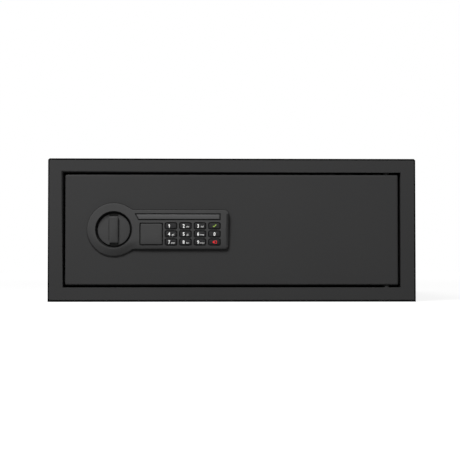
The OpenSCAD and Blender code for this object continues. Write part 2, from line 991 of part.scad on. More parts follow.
module override_nut() {
    color("#9fa1a3")
    on_door()
        at(badge_x, panel_z)
            difference() {
                slab(bracket_y + bracket_t, bracket_y + bracket_t + 2.6)
                    circle(cylinder_r + 3, $fn = 6);
                rod(0, cylinder_end + 1, cylinder_r + held_fit);
            }
}

// Plug, its tail and the lifting cam, whose edge climbs at a steady rate
cam_low = -12;
cam_high = 102;
module override_plug() {
    color("#c9b26a")
    on_door()
        at(badge_x, panel_z) {
            difference() {
                rod(plug_face, cylinder_end + 0.4, plug_r);
                slab(plug_face - 1, plug_face + 9)
                    square([1.2, 6.4], center = true);
            }
            rod(cylinder_end, lift_cam_y + 0.5, 2.4);
            slab(lift_cam_y, lift_cam_y + lift_cam_t)
                polygon(concat(
                    [[4 * cos(-60), 4 * sin(-60)]],
                    [for (a = [cam_low : 6 : cam_high])
                        (lift_cam_r + plunger_lift * (a - 3) / 90) * [-sin(a), cos(a)]],
                    [[4 * cos(210), 4 * sin(210)]]
                ));
        }
}

// Knob, its shaft and the crank that throws the bolts
pocket_d = 3.4;
module knob() {
    face = -plate_t + disc_sunk;
    color("#363637")
    on_door()
        difference() {
            union() {
                rod(face, well_floor - slide_gap, disc_r);
                slab(-plate_t - bar_proud, face + 0.5)
                    rounded_rect(bar_w, bar_l, 1.5);
            }
            for (side = [-1, 1])
                at(0, side * (bar_l / 2 + 5))
                    slab(face - 1, face + pocket_d)
                        square([bar_w, 10], center = true);
            rod(-1.5, well_floor + 1, shaft_r + held_fit);
        }
}

// Shaft with two flats at its inner end, where the cam sits
flat = 0.75;
module shaft_end(grow) {
    intersection() {
        circle(shaft_r + grow);
        square([3 * shaft_r, 2 * flat * shaft_r], center = true);
    }
}

module knob_shaft() {
    color("#a9abad")
    on_door() {
        rod(-1.5, cam_y, shaft_r);
        slab(cam_y - 0.5, cam_y + cam_t)
            shaft_end(0);
        rod(cam_y + cam_t, cam_y + cam_t + 1.6, shaft_r + 1);
    }
}

module knob_cam() {
    color("#8d9092")
    on_door() {
        slab(cam_y, cam_y + cam_t)
            difference() {
                circle(cam_r);
                shaft_end(held_fit);
            }
        at(throw / 2, throw / 2)
            rod(carriage_y0 - 0.6, cam_y + 0.5, crank_pin_r);
    }
}

// Carriage in its middle place is centred on the knob's axis
module bolt_carriage() {
    slot_l = throw + 2 * guide_r + 1;
    tail_x1 = badge_x - plunger_r - 0.5 + throw / 2;
    back_x = cam_r + 3;
    front_x = guide_x - slot_l / 2 - 8;
    half_h = carriage_half_h - 2;
    color("#a9abad")
    on_door()
        translate([throw / 2, 0, 0])
            slab(carriage_y0, carriage_y1)
                difference() {
                    union() {
                        translate([front_x, -half_h])
                            square([back_x - front_x, 2 * half_h]);
                        for (side = [-1, 1])
                            translate([carriage_x0 - throw / 2, side * bolt_dz / 2 - 4])
                                square([front_x - carriage_x0 + throw / 2 + 1, 8]);
                        translate([back_x - 1, arm_top - arm_tail_h])
                            square([tail_x1 - back_x + 1, arm_tail_h]);
                    }
                    rounded_rect(throw + 2 * shaft_r + 1.2, 2 * shaft_r + 1.2, shaft_r);
                    translate([0, (crank_r + crank_r * cos(45)) / 2])
                        rounded_rect(
                            2 * (crank_pin_r + slot_gap),
                            crank_r * (1 - cos(45)) + 2 * (crank_pin_r + slot_gap),
                            crank_pin_r
                        );
                    for (side = [-1, 1])
                        translate([guide_x, side * guide_z])
                            rounded_rect(slot_l, 2 * guide_r + 0.5, guide_r);
                }
}

module bolts() {
    color("#c3c5c7")
    on_door()
        bolt_places()
            difference() {
                translate([bolt_tip, 0, 0])
                    rotate([0, 90, 0])
                        cylinder(h = bolt_l, r = bolt_r);
                translate([carriage_x0, -carriage_t / 2, -bolt_r - 1])
                    cube([bolt_l, carriage_t, 2 * bolt_r + 2]);
            }
}

// Badge cover that pulls off the override lock
module badge_cover() {
    color("#333334")
    on_door() {
        at(badge_x, panel_z)
            slab(-plate_t, -plate_t + badge_t)
                rounded_rect(badge_w - 2 * badge_gap, badge_h - 2 * badge_gap, 1);
        badge_clips(0);
    }
}

// Inner cover, battery bay and boards
module cover_screw_places() {
    for (x = cover_screw_x, side = [-1, 1])
        at(x, side * cover_screw_z)
            children();
}

module cover_box(inset) {
    translate([(cover_x0 + cover_x1) / 2, 0])
        rounded_rect(cover_w - 2 * inset, cover_h - 2 * inset, 5 - inset);
}

module inner_cover() {
    color("#1f2021")
    on_door() {
        difference() {
            union() {
                slab(cover_y0, cover_y1)
                    cover_box(0);
                slab(cover_y0, cover_y0 + cover_t)
                    translate([cover_x0, -cover_h / 2 - cover_tab])
                        square([cover_w, cover_h + 2 * cover_tab]);
            }
            slab(cover_y0 - 1, cover_y1 - cover_t)
                cover_box(cover_t);
            cover_screw_places()
                rod(0, cover_y1, 2.2);
            bolt_places()
                translate([cover_x0 - 1, 0, 0])
                    rotate([0, 90, 0])
                        cylinder(h = cover_t + 2, r = bolt_r + 0.9);
            at(bay_x, bay_z)
                slab(cover_y1 - cover_t - 1, cover_y1 + 1)
                    square([bay_w, bay_h], center = true);
            at(reset_x, reset_z)
                rod(cover_y1 - cover_t - 1, cover_y1 + 1, reset_r + slide_gap);
        }
        for (side = [-1, 1])
            at(bay_x + side * (bay_w / 2 - 6), 0)
                knuckle(6);
        at(reset_x, reset_z)
            for (sx = [-1, 1], sz = [-1, 1])
                at(sx * 5, sz * 5)
                    rod(switch_y0 + board_t, cover_y1 - cover_t + 0.5, 1.5);
    }
}

// Hinge knuckle of the battery lid, centred in width on its place
module knuckle(w) {
    difference() {
        union() {
            translate([-w / 2, lid_axis_y, lid_axis_z])
                rotate([0, 90, 0])
                    cylinder(h = w, r = knuckle_r);
            translate([-w / 2, cover_y1 - 0.01, lid_axis_z - knuckle_r / 2])
                cube([w, lid_axis_y - cover_y1, knuckle_r * 1.5]);
        }
        translate([-w, lid_axis_y, lid_axis_z])
            rotate([0, 90, 0])
                cylinder(h = 2 * w, r = lid_pin_r + held_fit);
    }
}

module battery_lid() {
    lid_w = bay_w + 2 * lid_lap;
    lid_h = bay_h + 2 * lid_lap;
    leaf_w = bay_w - 12 - 6 - 2 * slide_gap;
    y0 = cover_y1 + 0.2;
    color("#242526")
    on_door() {
        at(bay_x, bay_z)
            slab(y0, y0 + lid_t)
                rounded_rect(lid_w, lid_h, 2);
        at(bay_x, 0)
            difference() {
                union() {
                    translate([-leaf_w / 2, lid_axis_y, lid_axis_z])
                        rotate([0, 90, 0])
                            cylinder(h = leaf_w, r = knuckle_r);
                    translate([-leaf_w / 2, y0 + 0.2, lid_axis_z - 4])
                        cube([leaf_w, lid_t - 0.2, 4]);
                }
                translate([-leaf_w, lid_axis_y, lid_axis_z])
                    rotate([0, 90, 0])
                        cylinder(h = 2 * leaf_w, r = lid_pin_r + run_fit);
            }
    }
}

module cover_screws() {
    color("#b9bbbd")
    on_door()
        cover_screw_places() {
            rod(0.8, cover_y0 + cover_t, 2);
            difference() {
                rod(cover_y0 + cover_t, cover_y0 + cover_t + 2.2, 3.6);
                slab(cover_y0 + cover_t + 1, cover_y0 + cover_t + 3) {
                    square([4, 0.9], center = true);
                    square([0.9, 4], center = true);
                }
            }
        }
}

module battery_box() {
    y1 = cover_y1 - cover_t;
    color("#1a1a1b")
    on_door()
        at(bay_x, bay_z)
            difference() {
                slab(y1 - bay_d - box_wall, y1)
                    square([bay_w + 2 * box_wall, bay_h + 2 * box_wall], center = true);
                slab(y1 - bay_d, y1 + 1)
                    square([bay_w, bay_h], center = true);
            }
}

cell_y = cover_y1 - cover_t - bay_d + cell_r + 0.2;
cell_tip_r = 2.7;
contact_t = 0.5;
module cell_places() {
    for (i = [0 : cells - 1])
        translate([bay_x, cell_y, bay_z + (i - (cells - 1) / 2) * cell_pitch])
            rotate([0, 0, 180 * (i % 2)])
                rotate([0, 90, 0])
                    children();
}

module battery_cells() {
    color("#6f7275")
    on_door()
        cell_places() {
            translate([0, 0, -cell_l / 2])
                cylinder(h = cell_l - 1.4, r = cell_r);
            translate([0, 0, cell_l / 2 - 1.5])
                cylinder(h = 1.5, r = cell_tip_r);
        }
}

module battery_contacts() {
    color("#c3c5c7")
    on_door()
        cell_places() {
            translate([0, 0, cell_l / 2])
                cylinder(h = cell_gap, r = cell_tip_r);
            translate([0, 0, -cell_l / 2 - cell_gap])
                cylinder(h = contact_t, r = cell_r * 0.7);
            translate([0, 0, -cell_l / 2 - cell_gap + contact_t])
                cylinder(h = cell_gap - contact_t, r = cell_r * 0.35);
        }
}

switch_y0 = cover_y1 - cover_t - 10;
switch_y1 = switch_y0 + board_t + 3;
module reset_switch() {
    color("#1d5a34")
    on_door()
        at(reset_x, reset_z) {
            slab(switch_y0, switch_y0 + board_t)
                square([14, 14], center = true);
            slab(switch_y0 + board_t, switch_y1)
                square([6, 6], center = true);
        }
}

module reset_button() {
    back = cover_y1 - cover_t - slide_gap;
    color("#8e2a20")
    on_door()
        at(reset_x, reset_z) {
            rod(back - 1.2, cover_y1 + reset_travel + 0.3, reset_r);
            rod(back - 1.2, back, reset_r + 1.2);
            rod(switch_y1 + reset_travel + 0.2, back, 1.6);
        }
}

module lid_pin() {
    pin_l = bay_w - 6;
    color("#c3c5c7")
    on_door()
        translate([bay_x - pin_l / 2, lid_axis_y, lid_axis_z])
            rotate([0, 90, 0])
                cylinder(h = pin_l, r = lid_pin_r);
}

// The board carries one chip and a plug for the keypad's lead
chip_w = 10;
chip_t = 1.4;
plug_w = 10;
plug_dx = 18;
plug_dz = 3;
plug_y = control_y + board_t + 4;
module control_board() {
    color("#1d5a34")
    on_door()
        at(control_x, control_z) {
            difference() {
                slab(control_y, control_y + board_t)
                    square([control_w, control_h], center = true);
                board_screw_places()
                    rod(0, cover_y1, board_screw_r + held_fit);
            }
            at(4, 2)
                slab(control_y + board_t, control_y + board_t + chip_t)
                    square([chip_w, chip_w], center = true);
            at(-plug_dx, plug_dz)
                slab(control_y + board_t, plug_y)
                    square([plug_w, plug_w / 2], center = true);
        }
}

module board_screw_places() {
    for (sx = [-1, 1], sz = [-1, 1])
        at(sx * (control_w / 2 - 4), sz * (control_h / 2 - 4))
            children();
}

// Screws of one size for the keypad board and the control board
module board_screw(from) {
    rod(from - board_t - 3.4, from + 0.5, board_screw_r);
    rod(from, from + 1.5, boss_r);
}

module board_screws() {
    color("#b9bbbd")
    on_door() {
        keypad_screw_places()
            board_screw(board_t);
        at(control_x, control_z)
            board_screw_places()
                board_screw(control_y + board_t);
    }
}

// Leads: round tubes swept along routes through the free space behind the door
function unit(v) = v / norm(v);
function lead_points(path, r, sides) = [
    for (i = [0 : len(path) - 1])
        let (
            a = path[max(i - 1, 0)],
            b = path[min(i + 1, len(path) - 1)],
            dir = unit(b - a),
            u = unit(cross(dir, abs(dir.y) > 0.9 ? [1, 0, 0] : [0, 1, 0])),
            v = cross(dir, u)
        )
        for (k = [0 : sides - 1])
            path[i] + r * (cos(360 * k / sides) * u + sin(360 * k / sides) * v)
];

module lead(path, r) {
    polyhedron(lead_points(path, r, 8), tube_faces(len(path), 8), convexity = 6);
}

lead_r = 0.9;
keypad_lead_r = 1.2;
board_top = control_z + control_h / 2;
keypad_x = control_x - control_w / 2 + 8;
keypad_z = max(board_top + 8, 5.8 - pocket_h / 2);
plug_x = control_x - plug_dx;
plug_z = control_z + plug_dz;
keypad_route = [
    [keypad_x, board_t, keypad_z], [keypad_x, board_t + 2.4, keypad_z],
    [keypad_x, board_t + 5.9, keypad_z - 1.5], [(keypad_x + plug_x) / 2, plug_y - 1.6, keypad_z - 4.5],
    [plug_x, plug_y + 1.4, plug_z + 10.5], [plug_x, plug_y + 3.4, plug_z + 6],
    [plug_x, plug_y + 4, plug_z + 2.5], [plug_x, plug_y + 3.2, plug_z + 0.4],
    [plug_x, plug_y + 1.6, plug_z], [plug_x, plug_y, plug_z]
];
coil_x = badge_x + coil_r + 0.05;
coil_z = solenoid_z + solenoid_h - 6;
coil_pad_x = control_x - control_w / 2 + 4;
lead_y = plug_y + 2;
solenoid_route = [
    [coil_x, bolt_y, coil_z], [coil_x + 3, bolt_y, coil_z],
    [bracket_x1 - 3, bolt_y - 2, coil_z - 3], [bracket_x1 + 1, lead_y + 3, coil_z - 12],
    [bracket_x1 + 3, lead_y + 1, (coil_z + control_z) / 2], [bracket_x1 + 4, lead_y + 1, control_z + 19],
    [coil_pad_x - 1, lead_y, control_z + 11], [coil_pad_x, lead_y - 0.6, control_z + 5],
    [coil_pad_x, lead_y - 2.4, control_z + 3], [coil_pad_x, control_y + board_t, control_z + 3]
];
bay_side = bay_x + bay_w / 2 + box_wall;
bay_low = bay_z - 20;
bay_pad_x = control_x + 14;
battery_route = [
    [bay_side, cell_y, bay_low], [bay_side + 2.4, cell_y, bay_low],
    [bay_side + 4.4, cell_y - 4, bay_low - 4], [bay_side + 4.4, lead_y + 5, (bay_low + control_z) / 2 - 4],
    [bay_side, lead_y + 1.4, control_z + 5], [bay_side - 8, lead_y - 1, control_z + 2],
    [bay_pad_x + 1, lead_y - 1.6, control_z + 1], [bay_pad_x, lead_y - 3.4, control_z + 1],
    [bay_pad_x, control_y + board_t, control_z + 1]
];
module wiring() {
    color("#a33a2c")
    on_door() {
        lead(keypad_route, keypad_lead_r);
        lead(solenoid_route, lead_r);
        lead(battery_route, lead_r);
    }
}

body_wrap();
floor_plate();
back_panel();
face_frame();
hinge_plates();
hinge_pins();
bolt_keeper();
stop_pads();
floor_mat();
door_panel();
door_stiffener();
hinge_blocks();
lock_plate();
indicator_strip();
keypad_membrane();
keypad_board();
lock_bracket();
bracket_studs();
nuts();
knob_bush();
bolt_bushes();
guide_screws();
guide_spacers();
solenoid_frame();
solenoid_coil();
override_cylinder();
override_nut();
control_board();
board_screws();
inner_cover();
cover_screws();
battery_box();
battery_contacts();
battery_cells();
reset_switch();
lid_pin();
wiring();
key_at(0, 0);  // key_1
key_at(1, 0);  // key_2
key_at(2, 0);  // key_3
key_at(3, 0);  // key_confirm
key_at(0, 1);  // key_4
key_at(1, 1);  // key_5
key_at(2, 1);  // key_6
key_at(3, 1);  // key_0
key_at(0, 2);  // key_7
key_at(1, 2);  // key_8
key_at(2, 2);  // key_9
key_at(3, 2);  // key_clear
badge_cover();
knob();
knob_shaft();
knob_cam();
bolt_carriage();
bolts();
solenoid_plunger();
plunger_spring();
override_plug();
battery_lid();
reset_button();
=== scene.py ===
import json
import math

import bmesh
import bpy
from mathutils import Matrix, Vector, geometry, noise


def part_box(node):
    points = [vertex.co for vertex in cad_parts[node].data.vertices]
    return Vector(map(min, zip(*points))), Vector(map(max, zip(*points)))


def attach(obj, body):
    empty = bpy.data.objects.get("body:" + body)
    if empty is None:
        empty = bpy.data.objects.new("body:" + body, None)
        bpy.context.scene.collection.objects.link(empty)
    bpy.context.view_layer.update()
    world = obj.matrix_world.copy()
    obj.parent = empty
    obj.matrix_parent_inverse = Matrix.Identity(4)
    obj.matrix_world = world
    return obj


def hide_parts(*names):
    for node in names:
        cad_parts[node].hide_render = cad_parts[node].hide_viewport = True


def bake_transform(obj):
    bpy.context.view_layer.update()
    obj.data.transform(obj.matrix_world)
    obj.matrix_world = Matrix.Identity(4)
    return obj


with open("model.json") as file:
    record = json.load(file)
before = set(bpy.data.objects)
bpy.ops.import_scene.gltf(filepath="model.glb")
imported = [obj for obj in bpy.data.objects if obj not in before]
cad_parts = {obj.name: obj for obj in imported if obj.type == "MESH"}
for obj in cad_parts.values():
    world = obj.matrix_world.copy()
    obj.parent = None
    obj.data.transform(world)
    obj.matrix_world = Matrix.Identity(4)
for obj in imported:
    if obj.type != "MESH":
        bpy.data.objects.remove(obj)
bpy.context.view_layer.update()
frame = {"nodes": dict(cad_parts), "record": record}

bl_info = {
    "name": "Wide Electronic Safe",
    "version": (1, 0, 0),
    "blender": (4, 5, 0),
    "location": "3D View > Sidebar > Safe",
    "description": "Painted case and door, moulded lock plate, keys, knob and lock work of a wide safe",
    "category": "Object",
}

MM = 0.001
NEAR = 2e-5

# Knob's axis on the door's face: the lock's own sizes are in millimetres from here
KNOB_LOW, KNOB_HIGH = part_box("knob")
DOOR_LOW, DOOR_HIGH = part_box("door_panel")
PLATE_LOW, PLATE_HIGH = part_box("lock_plate")
BADGE_LOW, BADGE_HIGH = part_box("badge_cover")
LOCK = Vector(((KNOB_LOW.x + KNOB_HIGH.x) / 2, DOOR_LOW.y, (KNOB_LOW.z + KNOB_HIGH.z) / 2))


def centre_of(node):
    """The node's middle, in millimetres right of the knob's axis and above it."""
    low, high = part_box(node)
    middle = (low + high) / 2
    return (middle.x - LOCK.x) / MM, (middle.z - LOCK.z) / MM


PLATE_FACE = (PLATE_LOW.y - LOCK.y) / MM
RING_R = (LOCK.x - PLATE_LOW.x) / MM
ARM_REACH = (PLATE_HIGH.x - LOCK.x) / MM
ARM_CORNER = 5.5
NECK_ANGLE = 60.0
WELL_R = 22.9
KNOB_R = (KNOB_HIGH.x - LOCK.x) / MM
KEY_W, KEY_H, KEY_CORNER, KEY_GAP = 13.4, 6.7, 1.4, 1.1
KEY_TOP = (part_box("key_5")[0].y - LOCK.y) / MM
KEY_PROUD = PLATE_FACE - KEY_TOP - 0.06
KEY_DOME = 0.30
KEY_BACK = PLATE_FACE + 2.7
BADGE_X, BADGE_Z = centre_of("badge_cover")
BADGE_GAP = 1.1
BADGE_W = (BADGE_HIGH.x - BADGE_LOW.x) / MM + 2 * BADGE_GAP
BADGE_H = (BADGE_HIGH.z - BADGE_LOW.z) / MM + 2 * BADGE_GAP
STRIP_X0, STRIP_X1, STRIP_Z, STRIP_H, STRIP_SLANT, STRIP_GAP = 26.4, 131.95, 16.0, 7.7, 4.1, 1.0
# Depths of the recesses, and a depth in front of the whole plate
STRIP_FLOOR, BADGE_FLOOR, IN_FRONT = -3.9, -3.3, -8.0

KEY_LABELS = {
    "key_1": ("1", ""), "key_2": ("2", "abc"), "key_3": ("3", "def"),
    "key_4": ("4", "ghi"), "key_5": ("5", "jkl"), "key_6": ("6", "mno"),
    "key_7": ("7", "pqrs"), "key_8": ("8", "tuv"), "key_9": ("9", "wxyz"),
    "key_0": ("0", ""), "key_confirm": ("", ""), "key_clear": ("", ""),
}


def body_of_node(node):
    for body, members in frame["record"]["behaviour"]["bodies"].items():
        if node in members:
            return body
    raise RuntimeError("no body holds " + node)


class SafeSizes(bpy.types.PropertyGroup):
    """Shape of the moulded and bent edges."""

    crown: bpy.props.FloatProperty(
        name="Plate crown", description="How far the lock plate's face falls off at its edge",
        default=0.0024, min=0.0, max=0.0025, unit="LENGTH", precision=4)
    arm_height: bpy.props.FloatProperty(
        name="Arm height", description="Height of the lock plate's arm",
        default=0.050, min=0.049, max=0.054, unit="LENGTH", precision=4)
    rim: bpy.props.FloatProperty(
        name="Rim chamfer", description="Chamfer round the openings in the lock plate",
        default=0.00025, min=0.0, max=0.0005, unit="LENGTH", precision=5)
    frame_bend: bpy.props.FloatProperty(
        name="Frame bend", description="Radius of the frame's bend beside the door",
        default=0.0025, min=0.0005, max=0.003, unit="LENGTH", precision=4)
    door_bend: bpy.props.FloatProperty(
        name="Door bend", description="Radius of the door's folded edges",
        default=0.0024, min=0.0005, max=0.0025, unit="LENGTH", precision=4)


class SafeColours(bpy.types.PropertyGroup):
    """Colours of the paints and mouldings, in linear light."""

    case_paint: bpy.props.FloatVectorProperty(
        name="Case paint", description="Powder coat of the case and its frame",
        default=(0.024, 0.024, 0.0242), size=3, min=0.0, max=1.0, subtype="COLOR")
    door_paint: bpy.props.FloatVectorProperty(
        name="Door paint", description="Powder coat of the door",
        default=(0.0245, 0.0245, 0.0247), size=3, min=0.0, max=1.0, subtype="COLOR")
    plate_plastic: bpy.props.FloatVectorProperty(
        name="Lock plate plastic", description="Moulded plastic of the lock plate and badge",
        default=(0.0352, 0.0352, 0.0354), size=3, min=0.0, max=1.0, subtype="COLOR")
    strip_plastic: bpy.props.FloatVectorProperty(
        name="Strip plastic", description="Smoked plastic of the indicator strip",
        default=(0.0455, 0.0455, 0.046), size=3, min=0.0, max=1.0, subtype="COLOR")
    knob_plastic: bpy.props.FloatVectorProperty(
        name="Knob plastic", description="Moulded plastic of the knob",
        default=(0.034, 0.034, 0.0342), size=3, min=0.0, max=1.0, subtype="COLOR")
    key_rubber: bpy.props.FloatVectorProperty(
        name="Key rubber", description="Black silicone rubber of the keys",
        default=(0.012, 0.012, 0.0125), size=3, min=0.0, max=1.0, subtype="COLOR")
    legend: bpy.props.FloatVectorProperty(
        name="Legend ink", description="White print of the digits and letters",
        default=(0.72, 0.72, 0.71), size=3, min=0.0, max=1.0, subtype="COLOR")
    confirm: bpy.props.FloatVectorProperty(
        name="Confirm ink", description="Green print of the tick",
        default=(0.24, 0.36, 0.05), size=3, min=0.0, max=1.0, subtype="COLOR")
    clear: bpy.props.FloatVectorProperty(
        name="Clear ink", description="Red print of the clear mark",
        default=(0.72, 0.015, 0.02), size=3, min=0.0, max=1.0, subtype="COLOR")
    mat_felt: bpy.props.FloatVectorProperty(
        name="Mat felt", description="Grey felt on the floor of the safe",
        default=(0.030, 0.031, 0.034), size=3, min=0.0, max=1.0, subtype="COLOR")


class SafeStage(bpy.types.PropertyGroup):
    """Lamps, floor and camera."""

    key_lamp: bpy.props.FloatProperty(
        name="Key lamp", description="Power of the large lamp, above the front",
        default=84.0, min=0.0, max=400.0, unit="POWER")
    fill_lamp: bpy.props.FloatProperty(
        name="Fill lamp", description="Power of the lamp far in front",
        default=12.0, min=0.0, max=400.0, unit="POWER")
    ambient: bpy.props.FloatProperty(
        name="Room light", description="Strength of the even light from the room",
        default=0.06, min=0.0, max=1.0, subtype="FACTOR")
    lens: bpy.props.FloatProperty(
        name="Lens", description="Focal length of the camera", default=94.54, min=20.0, max=300.0,
        unit="CAMERA")


# Materials

# Most of a noise lies between these values
NOISE_LOW, NOISE_HIGH = 0.3, 0.7


def new_node(tree, kind, values=None):
    """A shader node, with values for its sockets by their names."""
    node = tree.nodes.new("ShaderNode" + kind)
    for socket, value in (values or {}).items():
        node.inputs[socket].default_value = value
    return node


class Finish:
    """A material whose nodes read the place on the piece."""

    def __init__(self, name, colour, roughness, metallic=0.0, specular=0.5):
        self.material = bpy.data.materials.new(name)
        self.material.use_nodes = True
        self.tree = self.material.node_tree
        self.shader = self.tree.nodes["Principled BSDF"]
        self.colour = tuple(colour)
        self.roughness = roughness
        for socket, value in (("Base Color", (*colour, 1.0)), ("Roughness", roughness),
                              ("Metallic", metallic), ("Specular IOR Level", specular)):
            self.shader.inputs[socket].default_value = value
        self.place = new_node(self.tree, "TexCoord").outputs["Object"]
        self.normal = None

    def link(self, a, b):
        self.tree.links.new(a, b)

    def stretched(self, scale):
        node = new_node(self.tree, "Mapping", {"Scale": scale})
        self.link(self.place, node.inputs["Vector"])
        return node.outputs["Vector"]

    def noise(self, scale, detail, place=None):
        node = new_node(self.tree, "TexNoise", {"Scale": scale, "Detail": detail})
        self.link(place or self.place, node.inputs["Vector"])
        return node.outputs["Fac"]

    def cells(self, scale, feature="F1"):
        node = new_node(self.tree, "TexVoronoi", {"Scale": scale})
        node.feature = feature
        self.link(self.place, node.inputs["Vector"])
        return node.outputs["Distance"]

    def waves(self, scale, direction, distortion=0.0):
        node = new_node(self.tree, "TexWave", {"Scale": scale, "Distortion": distortion})
        node.bands_direction = direction
        self.link(self.place, node.inputs["Vector"])
        return node.outputs["Fac"]

    def vary_roughness(self, value, spread):
        node = new_node(self.tree, "MapRange", {
            "From Min": NOISE_LOW, "From Max": NOISE_HIGH,
            "To Min": max(self.roughness - spread, 0.02), "To Max": min(self.roughness + spread, 1.0)})
        self.link(value, node.inputs["Value"])
        self.link(node.outputs["Result"], self.shader.inputs["Roughness"])

    def vary_colour(self, value, low, high, start=NOISE_LOW, end=NOISE_HIGH):
        """Blends between two shares of the colour, as the value goes from start to end."""
        ramp = new_node(self.tree, "ValToRGB")
        for element, at, share in zip(ramp.color_ramp.elements, (start, end), (low, high)):
            element.position = at
            element.color = (*(min(c * share, 1.0) for c in self.colour), 1.0)
        self.link(value, ramp.inputs["Fac"])
        self.link(ramp.outputs["Color"], self.shader.inputs["Base Color"])

    def bump(self, value, height, strength):
        node = new_node(self.tree, "Bump", {"Distance": height, "Strength": strength})
        self.link(value, node.inputs["Height"])
        if self.normal is not None:
            self.link(self.normal, node.inputs["Normal"])
        self.normal = node.outputs["Normal"]
        self.link(self.normal, self.shader.inputs["Normal"])


def powder_coat(name, colour, roughness=0.6, specular=0.06):
    """Fine textured powder coat with a soft orange peel and faint handling marks."""
    f = Finish(name, colour, roughness, specular=specular)
    f.vary_colour(f.noise(7.0, 3.0), 0.97, 1.03)
    f.vary_roughness(f.noise(28.0, 4.0), 0.02)
    f.bump(f.noise(420.0, 2.0), 0.00006, 0.5)
    f.bump(f.noise(1900.0, 3.0), 0.00003, 0.6)
    return f.material


def moulded_plastic(name, colour, roughness=0.5, specular=0.06, grain=2600.0, depth=0.00002):
    """Moulded plastic with a spark-eroded grain and slight flow marks."""
    f = Finish(name, colour, roughness, specular=specular)
    f.vary_colour(f.noise(35.0, 2.0), 0.96, 1.04)
    f.vary_roughness(f.noise(90.0, 3.0), 0.05)
    f.bump(f.cells(grain), depth, 0.6)
    f.bump(f.noise(300.0, 2.0), 0.00003, 0.25)
    return f.material


def key_rubber(name, colour):
    """Silicone rubber: matt, a little dusty, with a very fine skin."""
    f = Finish(name, colour, 0.62, specular=0.1)
    f.vary_colour(f.noise(240.0, 3.0), 0.85, 1.25)
    f.vary_roughness(f.noise(500.0, 2.0), 0.08)
    f.bump(f.noise(3200.0, 3.0), 0.00002, 0.5)
    return f.material


def printed_ink(name, colour):
    """Screen print with slightly uneven cover."""
    f = Finish(name, colour, 0.45, specular=0.3)
    f.vary_colour(f.noise(1500.0, 3.0), 0.9, 1.0)
    f.vary_roughness(f.noise(900.0, 2.0), 0.08)
    f.bump(f.noise(2600.0, 2.0), 0.00001, 0.4)
    return f.material


def plated_steel(name, colour, roughness=0.34):
    """Zinc plate with a faint spangle and rolling lines."""
    f = Finish(name, colour, roughness, metallic=1.0)
    f.vary_colour(f.cells(260.0), 0.86, 1.05, 0.1, 0.8)
    f.vary_roughness(f.noise(140.0, 4.0), 0.09)
    f.bump(f.noise(60.0, 3.0, f.stretched((1.0, 1.0, 26.0))), 0.00002, 0.4)
    return f.material


def turned_metal(name, colour, roughness, direction="X", lines=900.0):
    """Turned or ground metal with fine lines across its length and rubbed places."""
    f = Finish(name, colour, roughness, metallic=1.0)
    f.vary_colour(f.noise(90.0, 3.0), 0.88, 1.06)
    f.vary_roughness(f.noise(220.0, 4.0), 0.08)
    f.bump(f.waves(lines, direction, 1.5), 0.000006, 0.5)
    f.bump(f.noise(700.0, 3.0), 0.00001, 0.3)
    return f.material


def felt(name, colour):
    """Needled felt: short fibres lying both ways, with a soft sheen."""
    f = Finish(name, colour, 0.95, specular=0.15)
    f.shader.inputs["Sheen Weight"].default_value = 0.25
    f.shader.inputs["Sheen Roughness"].default_value = 0.5
    across = f.noise(1.0, 4.0, f.stretched((260.0, 1500.0, 900.0)))
    along = f.noise(1.0, 4.0, f.stretched((1500.0, 260.0, 900.0)))
    f.vary_colour(across, 0.55, 1.6)
    f.vary_roughness(along, 0.05)
    f.bump(across, 0.0003, 0.7)
    f.bump(along, 0.0003, 0.7)
    f.bump(f.noise(55.0, 3.0), 0.0006, 0.4)
    return f.material


def circuit_board(name, colour):
    """Green solder mask over copper tracks."""
    f = Finish(name, colour, 0.35, specular=0.5)
    tracks = f.cells(330.0, "DISTANCE_TO_EDGE")
    f.vary_colour(tracks, 1.7, 1.0, 0.06, 0.09)
    f.vary_roughness(f.noise(300.0, 2.0), 0.08)
    f.bump(tracks, 0.00003, 0.4)
    return f.material


def wound_wire(name, colour):
    """Enamelled copper wire, turn beside turn, darker between the turns as painted shade."""
    f = Finish(name, colour, 0.28, metallic=0.7)
    turns = f.waves(620.0, "Z")
    # Painted shade: the colour falls to 0.35 between the turns, where shade lies
    f.vary_colour(turns, 0.35, 1.1, 0.1, 0.8)
    f.vary_roughness(f.noise(400.0, 2.0), 0.06)
    f.bump(turns, 0.00012, 0.9)
    return f.material


def wire_sleeve(name, colour):
    """Soft vinyl sleeve of the leads."""
    f = Finish(name, colour, 0.42, specular=0.45)
    f.vary_colour(f.noise(120.0, 2.0), 0.85, 1.1)
    f.vary_roughness(f.noise(500.0, 2.0), 0.08)
    f.bump(f.noise(900.0, 2.0), 0.00003, 0.4)
    return f.material


